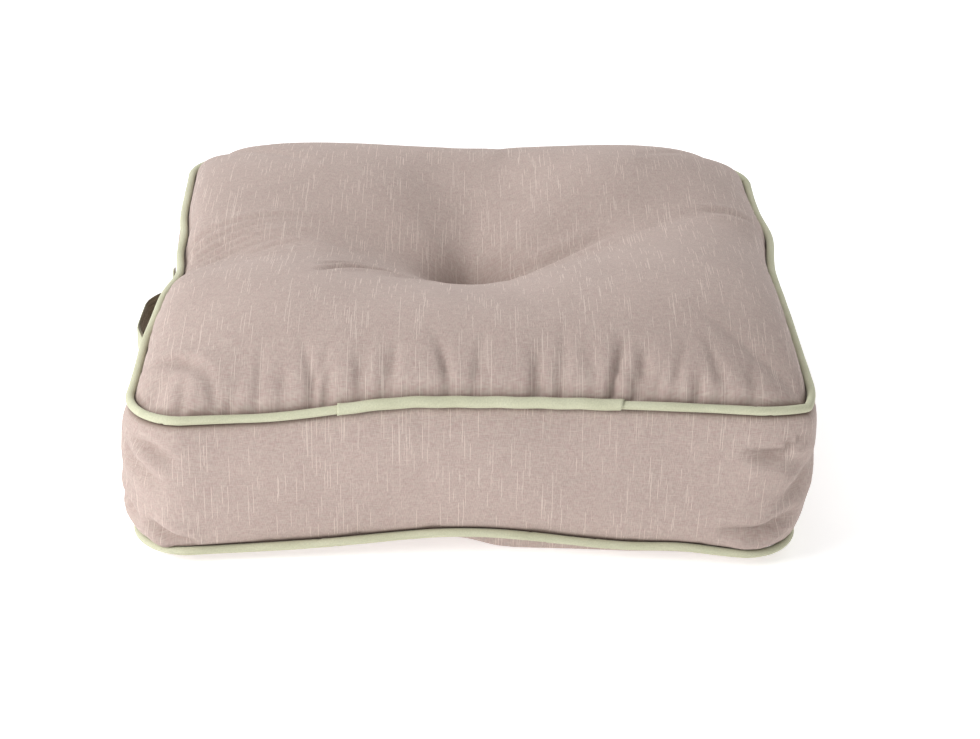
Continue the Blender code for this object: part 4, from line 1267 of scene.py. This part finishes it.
def build_button(name, node, upward):
    """A covered button: a domed cap with the cloth gathered under its rim."""
    low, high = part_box(node)
    radius = (high.x - low.x) / 2 + 0.0002
    middle_x, middle_y = (low.x + high.x) / 2, (low.y + high.y) / 2
    foot = low.z if upward > 0 else high.z
    height = high.z - low.z
    segments, rings = 72, 13
    rim, rim_height, pleats = 0.25, 0.0008, 18
    points = []
    # from the rim's underside out, round the rim and up over the dome
    for share in np.arange(rings) / rings:
        if share < rim:
            reach = radius * (0.70 + 0.30 * math.sin(share / rim * math.pi / 2))
            rise = -0.0004 + 0.0012 * (share / rim) ** 2
        else:
            turn = (share - rim) / (1 - rim) * math.pi / 2
            reach = radius * math.cos(turn) ** 0.85
            rise = rim_height + (height - rim_height) * math.sin(turn)
        for spot in range(segments):
            angle = spot / segments * 2 * math.pi
            pleat = 0.00022 * math.cos(angle * pleats) * max(0.0, 1 - share * 1.8)
            points.append((middle_x + (reach + pleat) * math.cos(angle),
                           middle_y + (reach + pleat) * math.sin(angle),
                           foot + rise * upward))
    faces, _ = quads(rings, segments)
    crown, under = len(points), len(points) + 1
    points += [(middle_x, middle_y, foot + height * upward), (middle_x, middle_y, foot)]
    last = (rings - 1) * segments
    for spot in range(segments):
        after = (spot + 1) % segments
        faces += [(last + spot, last + after, crown), (after, spot, under)]
    button = add_mesh(name, points, faces, plan_uvs(points, faces, 1, 9))
    return finished(button, linen_button)


# ---- the back band and its zip ------------------------------------------------------------------


def build_zip_bands(cover):
    """The two halves of the back band, each turned under at the zip's mouth, as their own cloth.

    They follow the stuffed cover's back face, which is then let in behind them.
    """
    halves = []
    for name, upward in (("zip_band_top", 1), ("zip_band_low", -1)):
        shape = bmesh.new()
        shape.from_mesh(cover.data)
        others = []
        for face in shape.faces:
            x, y, z = face.calc_center_median()
            in_band = y > 0.2405 and abs(x) < ZIP_SEAM and 0.004 < z < 0.1260
            if not (in_band and face.normal.y > 0.25):
                others.append(face)
        bmesh.ops.delete(shape, geom=others, context="FACES")
        bmesh.ops.bisect_plane(
            shape, geom=shape.verts[:] + shape.edges[:] + shape.faces[:],
            plane_co=(0, 0, ZIP_HEIGHT + ZIP_MOUTH * upward), plane_no=(0, 0, upward),
            clear_inner=True)
        halves.append(placed(name, mesh_from(name, shape)))
    points = points_of(cover)
    let_in = (points[:, 1] > 0.240) & (np.abs(points[:, 0]) < ZIP_SEAM - 0.002) & (
        points[:, 2] > 0.016) & (points[:, 2] < 0.1195)
    points[let_in, 1] -= ZIP_LET_IN
    set_points(cover, points)
    for half in halves:
        give_wall(half, BAND_WALL, -1.0)
        half.data.shade_smooth()
        half.data.materials.clear()
        half.data.materials.append(linen)
    return halves


def back_face(half, x, z):
    """The outer face's y of a back band half along x at one height, smoothed."""
    points = points_of(half)
    tree = search_tree(points * (1, 0, 1))
    found = [max(points[number][1] for _, number, _ in tree.find_n((spot, 0, z), 6))
             for spot in x]
    return np.convolve(np.pad(found, 4, mode="edge"), np.ones(9) / 9, "valid")


def level_line(xs, y, z):
    """Points along x at one height."""
    return np.stack([xs, y + 0 * xs, z + 0 * xs], -1)


def build_zip(halves):
    """Coils, tapes, topstitching, bar tacks and stops: each with its CAD nodes and its slot."""
    pieces = []
    xs = np.linspace(-ZIP_HALF_LENGTH, ZIP_HALF_LENGTH, 60)
    for name, up, shift in (("upper", 1, 0.0), ("lower", -1, TOOTH_PITCH * 0.49)):
        row = level_line(xs + shift, BAND_FACE - 0.0010, ZIP_HEIGHT + up * 0.00135)
        coil = grown_on(f"zip_coil_{name}", [row], loop_tree, zip_nylon,
                        Pitch=TOOTH_PITCH, Width=0.0027, Depth=0.0015, Wire=0.00030)
        pieces.append((coil, "zip_nylon", [f"zip_teeth_{name}"]))
        tape = build_tape(f"zip_tape_cloth_{name}", up)
        pieces.append((tape, "zip_tape", [f"zip_tape_{name}"]))
    xs = np.linspace(-ZIP_SEAM + 0.006, ZIP_SEAM - 0.006, 200)
    for half, name, up in zip(halves, ("upper", "lower"), (1, -1)):
        z = ZIP_HEIGHT + up * (ZIP_MOUTH + 0.0052)
        stitches = grown_on(
            f"zip_topstitch_{name}", [level_line(xs, back_face(half, xs, z) + 0.00005, z)],
            stitch_tree, pink_thread, Pitch=0.0032, Length=0.0025, Thickness=0.00050)
        pieces.append((stitches, "linen", []))
    zs = np.linspace(-0.0085, 0.0085, 12) + ZIP_HEIGHT
    bars = [level_line(np.full(12, side * (ZIP_HALF_LENGTH + 0.009) + spread),
                       BAND_FACE + 0.0002, zs) for side in (-1, 1) for spread in (-0.0006, 0.0006)]
    tacks = grown_on("zip_bar_tacks", bars, stitch_tree, pink_thread,
                     Pitch=0.0011, Length=0.0016, Thickness=0.00060)
    pieces.append((tacks, "linen", []))
    # the stops' boxes are already in the frame's place
    for piece, _, _ in pieces:
        centred(piece)
    for end in ("closed", "open"):
        node = f"zip_{end}_stop"
        stop = rounded_block(f"zip_stop_{end}", *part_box(node), 0.0004)
        stop.data.materials.append(zip_metal)
        pieces.append((stop, "zip_metal", [node]))
    return pieces


def build_tape(name, up):
    """One zip tape behind the mouth, with a fine corded edge."""
    xs = np.linspace(-ZIP_HALF_LENGTH - 0.008, ZIP_HALF_LENGTH + 0.008, 120)
    heights = np.linspace(0.0008, 0.0140, 12)
    beads = 0.0003 * bell(heights - 0.0030, 0.0006)
    points = [(x, BAND_FACE - 0.0021 + bead, ZIP_HEIGHT + up * height)
              for x in xs for height, bead in zip(heights, beads)]
    faces, _ = quads(len(xs), len(heights), ring=False)
    tape = add_mesh(name, points, faces, plan_uvs(points, faces, 2, 12))
    give_wall(tape, TAPE_WALL)
    return finished(tape, zip_tape_cloth)


def rounded_block(name, low, high, radius, segments=3):
    """A block between two corners with rounded edges."""
    shape = bmesh.new()
    size = Vector(high) - Vector(low)
    middle = (Vector(high) + Vector(low)) / 2
    bmesh.ops.create_cube(shape, size=1.0,
                          matrix=Matrix.Translation(middle) @ Matrix.Diagonal((*size, 1.0)))
    radius = min(radius, min(size) * 0.45)
    bmesh.ops.bevel(shape, geom=shape.edges[:], offset=radius, segments=segments,
                    profile=0.5, affect="EDGES")
    mesh = mesh_from(name, shape)
    mesh.shade_smooth()
    mesh.set_sharp_from_angle(angle=math.radians(60))
    return placed(name, mesh)


def closed_layers(name, layers):
    """A closed shape through equal rings of points, capped at both ends."""
    count = len(layers[0])
    faces, _ = quads(len(layers), count)
    faces += [tuple(range(count)), tuple(range((len(layers) - 1) * count, len(layers) * count))]
    shape = add_mesh(name, [point for layer in layers for point in layer], faces)
    turn_outward(shape)
    return shape


def tube_along(name, line, radius, sides=10):
    """A closed round bar along a line of points in a plane of constant z."""
    run = np.gradient(line, axis=0)
    run /= np.linalg.norm(run, axis=1)[:, None]
    up = np.array([0, 0, 1.0])
    turns = np.arange(sides)[:, None] / sides * 2 * math.pi
    return closed_layers(name, [
        place + (np.cross(ahead, up) * np.cos(turns) + up * np.sin(turns)) * radius
        for place, ahead in zip(line, run)])


def joined(name, things):
    """Several plain meshes as one object."""
    shape = bmesh.new()
    for thing in things:
        shape.from_mesh(thing.data)
        bpy.data.objects.remove(thing)
    return placed(name, mesh_from(name, shape))


def rounded(value, power):
    """A circle's share, made squarer by a power under 1."""
    return math.copysign(abs(value) ** power, value)


def shield_plate(name, middle, y_low, half_length, half_width, nose=0.22):
    """A zip slider's plate: wide at the mouth end and narrowing to the tail."""
    outline = []
    for turn in np.arange(28) / 28 * 2 * math.pi:
        across, along = math.sin(turn), math.cos(turn)
        wide = half_width * (1.0 if along > 0 else 1 - nose * along * along)
        outline.append((rounded(along, 0.55) * half_length, rounded(across, 0.6) * wide))
    y_high = y_low + SLIDER_PLATE
    soft = 0.0003
    layers = ((y_low, 0.93), (y_low + soft, 1.0), (y_high - soft, 1.0), (y_high, 0.90))
    return closed_layers(name, [
        [(middle.x + x * share, y, middle.z + z * share) for x, z in outline]
        for y, share in layers])


def build_slider():
    """The slider: two plates, the post between them and the bail over the top plate."""
    low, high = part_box("zip_slider")
    middle = Vector(((low.x + high.x) / 2, BAND_FACE, ZIP_HEIGHT))
    half_length, half_width = (high.x - low.x) / 2, (high.z - low.z) / 2
    face = BAND_FACE + SLIDER_GAP
    outer = shield_plate("slider_face", middle, face, half_length, half_width)
    inner = shield_plate("slider_back", middle, low.y, half_length, half_width)
    post_length, post_width = 0.0014, 0.00024
    post = rounded_block(
        "slider_post", (middle.x - post_length, low.y + 0.0009, ZIP_HEIGHT - post_width),
        (middle.x + post_length, face + 0.0002, ZIP_HEIGHT + post_width), 0.0001, 2)
    turns = np.linspace(0, math.pi, 15)
    bail_reach, bail_radius = 0.0027, 0.0005
    bail_rise = high.y - 0.0006 - (face + 0.0009)
    arch = level_line(middle.x - np.cos(turns) * bail_reach,
                      face + 0.0008 + np.sin(turns) ** 0.6 * bail_rise, ZIP_HEIGHT)
    bail = tube_along("slider_bail", arch, bail_radius)
    slider = joined("zip_slider_cast", [outer, inner, post, bail])
    slider.data.shade_smooth()
    slider.data.set_sharp_from_angle(angle=math.radians(42))
    slider.data.materials.append(zip_metal)
    return slider


def build_puller():
    """The pull tab: a flat drop with a hole for the bail, hanging back along the zip."""
    low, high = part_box("zip_puller")
    nose = 0.0005                # the tab's end past the axis it turns on
    axis_x = high.x - nose
    length = axis_x - low.x
    middle_x, middle_y = (low.x + high.x) / 2, (low.y + high.y) / 2
    half_y, half_z = (high.y - low.y) / 2, (high.z - low.z) / 2
    hole_x, hole_long, hole_wide = axis_x - 0.0022, 0.0015, 0.0013
    count, soft = 40, 0.00025
    outer, hole = [], []
    for turn in np.arange(count) / count * 2 * math.pi:
        along, across = math.cos(turn), math.sin(turn)
        x = high.x - (length + nose) * (0.5 - 0.5 * rounded(along, 0.75))
        full = 0.80 + 0.20 * ease((axis_x - x) / length * 2.2)
        outer.append((x, half_z * full * rounded(across, 0.42)))
        hole.append((hole_x + hole_long * along, hole_wide * across))
    layers = ((-half_y, soft), (-half_y * 0.45, 0.0), (half_y * 0.45, 0.0), (half_y, soft))
    points = [
        (middle_x + (x - middle_x) * (1 - inset / (length / 2)), middle_y + off,
         ZIP_HEIGHT + z * (1 - inset / half_z)) for off, inset in layers for x, z in outer]
    points += [(x, middle_y + off, ZIP_HEIGHT + z * (1 + inset / hole_wide))
               for off, inset in layers for x, z in hole]
    inside = len(layers) * count
    faces = quads(len(layers), count)[0] + quads(len(layers), count, start=inside)[0]
    for first in (0, inside - count):
        for step in range(count):
            after = (step + 1) % count
            faces.append((first + step, first + after, inside + first + after,
                          inside + first + step))
    tab = finished(add_mesh("zip_pull_tab", points, faces), zip_metal)
    tab.data.set_sharp_from_angle(angle=math.radians(42))
    return tab


# ---- making it all ------------------------------------------------------------------------------


def centred(thing):
    """Moves a piece made round the cushion's own middle into the frame's place."""
    thing.data.transform(Matrix.Translation((CENTRE_X, 0, 0)))
    thing.data.update()


def fold_cover(points, normals):
    """The cover's points with every fold let in, and how deep each one lies."""
    top = (normals[:, 2] > 0.05) & (points[:, 2] > 0.10)
    band = ~top & (np.abs(normals[:, 2]) < 0.75) & (points[:, 2] > 0.004)
    radius = np.linalg.norm(points[:, :2], axis=1)
    depth = np.zeros(len(points))
    depth[top] = top_folds(points[top]) * ease((radius[top] - 0.010) / 0.012)
    depth[band] = band_folds(points[band])
    handle = (points[:, 0] < -0.2) & (np.abs(points[:, 1] - HANDLE_CENTRE_Y) < 0.105) & (
        np.abs(points[:, 2] - HANDLE_HEIGHT) < 0.024)
    depth[handle & band] *= 0.2
    return points - normals * depth[:, None], depth


def make_cover():
    """The stuffed and folded cover, which also carries painted shade for its seams' crevices, the
    tuft's pit and its folds' valleys.
    """
    cover, base, part = build_cover()
    cover.data.materials.append(linen)
    shape = limited(base, stuffed(cover, base, part), part)
    seat = (part == "top") & (np.linalg.norm(base[:, :2], axis=1) < TUFT_SEAT)
    shape[seat, 2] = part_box("top_button_back")[0].z - 0.0002 - TUFT_SINK
    set_points(cover, shape)
    cover.vertex_groups.clear()
    subdivide(cover)
    points, depth = fold_cover(points_of(cover), normals_of(cover))
    points, painted_shade = cleared_of_piping(points)
    points[:, 2] = np.maximum(points[:, 2], 0.0)
    set_points(cover, points)
    # painted shade: a dark patch round the tuft's pit, and the folds' valleys darkened with their
    # depth
    painted_pit_shade = np.where(points[:, 2] > 0.08, 0.48, 0.0) * bell(
        np.linalg.norm(points[:, :2], axis=1), 0.036)
    painted_shade = np.maximum(np.maximum(painted_shade, painted_pit_shade), 0.15 * np.clip(depth / 0.0030, 0, 1))
    shade = cover.data.attributes.new("painted_shade", "FLOAT", "POINT")
    shade.data.foreach_set("value", painted_shade.astype(np.float32))
    return cover


cover = make_cover()
upper_band, lower_band = build_zip_bands(cover)
strap_side = strap_face(points_of(cover))
top_piping = build_piping("top_piping_tube", "top", TOP_BIAS_SEAMS)
bottom_piping = build_piping("bottom_piping_tube", "bottom", BOTTOM_BIAS_SEAMS)
sleeve = build_sleeve()
webbing, facing, stitching = build_handle(strap_side)
zip_pieces = build_zip((upper_band, lower_band))
for thing in (cover, upper_band, lower_band, top_piping, bottom_piping, sleeve, webbing, facing,
              stitching):
    centred(thing)

top_button = build_button("tuft_button_top", "top_button_cap", 1)
top_button.data.transform(Matrix.Translation((0, 0, -TUFT_SINK)))
bottom_button = build_button("tuft_button_bottom", "bottom_button_cap", -1)
slider = build_slider()
puller = build_puller()

# ---- how each piece moves and what it stands for -------------------------------------------------

stuffed_nodes = ("top_panel", "bottom_panel", "boxing_strip", "inner_case_top",
                 "inner_case_bottom", "fibre_filling", "top_button_back", "bottom_button_back",
                 "tuft_twine")
for thing, slot, nodes in (
    (cover, "linen", stuffed_nodes),
    (upper_band, "linen", ("zip_band_upper",)),
    (lower_band, "linen", ("zip_band_lower",)),
    (top_piping, "sage_cotton", ("top_piping_cover", "top_piping_cord")),
    (bottom_piping, "sage_cotton", ("bottom_piping_cover", "bottom_piping_cord")),
    (sleeve, "sage_cotton", ("top_piping_join",)),
    (top_button, "linen", ("top_button_cap",)),
    (bottom_button, "linen", ("bottom_button_cap",)),
    *zip_pieces,
):
    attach(thing, "cover")
    if nodes:
        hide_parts(*nodes)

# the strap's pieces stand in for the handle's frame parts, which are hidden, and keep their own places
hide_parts("handle_webbing")
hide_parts("handle_facing", "handle_leg_front", "handle_leg_rear", "handle_end_front",
            "handle_end_rear")
for thing, slot in ((webbing, "brown_webbing"), (facing, "sage_cotton"),
                    (stitching, "sage_cotton")):
    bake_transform(thing)

for thing, body, node in ((slider, "zip_slider_body", "zip_slider"),
                          (puller, "zip_puller_body", "zip_puller")):
    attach(thing, body)
    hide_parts(node)

# ---- floor, light and camera --------------------------------------------------------------------


def build_floor():
    """A wide pale floor that turns up into a backdrop."""
    half_width, far, bend, top = 6.0, 2.2, 1.2, 5.0
    profile = [(-half_width, 0.0), (far, 0.0)]
    for turn in np.radians(90 * np.arange(1, 13) / 12):
        profile.append((far + bend * math.sin(turn), bend - bend * math.cos(turn)))
    profile.append((far + bend, top))
    points = [(x, y, z - 0.0004) for y, z in profile for x in (-half_width, half_width)]
    faces = [(2 * step, 2 * step + 1, 2 * step + 3, 2 * step + 2)
             for step in range(len(profile) - 1)]
    floor = add_mesh("studio_floor", points, faces)
    finish = Finish("pale_floor", 0.9, specular=0.0)
    finish.colour(grey(0.90))
    # the floor is a lit table, so it stays white and throws light up
    finish.shader.inputs["Emission Color"].default_value = grey(1.0)
    finish.shader.inputs["Emission Strength"].default_value = 0.50
    floor.data.materials.append(finish.material)


def add_light(name, place, aim, size, power):
    light = bpy.data.lights.new(name, "AREA")
    light.shape = "DISK"
    light.size = size
    light.energy = power
    lamp = placed(name, light)
    lamp.location = place
    lamp.rotation_mode = "QUATERNION"
    lamp.rotation_quaternion = (Vector(aim) - Vector(place)).to_track_quat("-Z", "Y")


def add_world():
    """Soft white light all round, brighter towards the horizon, like a lit tent."""
    world = bpy.data.worlds.new("studio")
    world.use_nodes = True
    nodes, links = world.node_tree.nodes, world.node_tree.links
    sky = nodes["Background"]
    sky.inputs["Color"].default_value = grey(1.0)
    place, parts, level = (nodes.new(kind) for kind in (
        "ShaderNodeTexCoord", "ShaderNodeSeparateXYZ", "ShaderNodeMapRange"))
    for name, number in (("From Min", 0.1), ("From Max", 0.3), ("To Min", 0.9), ("To Max", 0.4)):
        level.inputs[name].default_value = number
    links.new(place.outputs["Generated"], parts.inputs[0])
    links.new(parts.outputs[2], level.inputs["Value"])
    links.new(level.outputs["Result"], sky.inputs["Strength"])
    bpy.context.scene.world = world


def add_camera():
    """The view from the front, a little above, with a long lens."""
    yaw, pitch, roll = (math.radians(angle) for angle in (0.755, 26.494, 0.746))
    ahead = Vector((math.sin(yaw) * math.cos(pitch), math.cos(yaw) * math.cos(pitch),
                    -math.sin(pitch)))
    right = Vector((math.cos(yaw), -math.sin(yaw), 0.0))
    up = right.cross(ahead)
    turned_right = right * math.cos(roll) + up * math.sin(roll)
    turned_up = up * math.cos(roll) - right * math.sin(roll)
    data = bpy.data.cameras.new("front_camera")
    data.sensor_width = 36.0
    data.lens = 83.36
    data.clip_start = 0.05
    data.clip_end = 50.0
    camera = placed("front_camera", data)
    place = Matrix((turned_right, turned_up, -ahead)).transposed().to_4x4()
    place.translation = Vector((CENTRE_X - 0.0052, -1.6971, 0.8841))
    camera.matrix_world = place
    bpy.context.scene.camera = camera


build_floor()
add_light("key_softbox", (-1.14, -0.84, 0.84), (0, 0, 0.08), 0.8, 14.5)
add_light("top_softbox", (-0.50, 0.75, 2.00), (0, 0, 0.1), 1.6, 11)
add_world()
bpy.context.scene.view_settings.view_transform = "Standard"
add_camera()
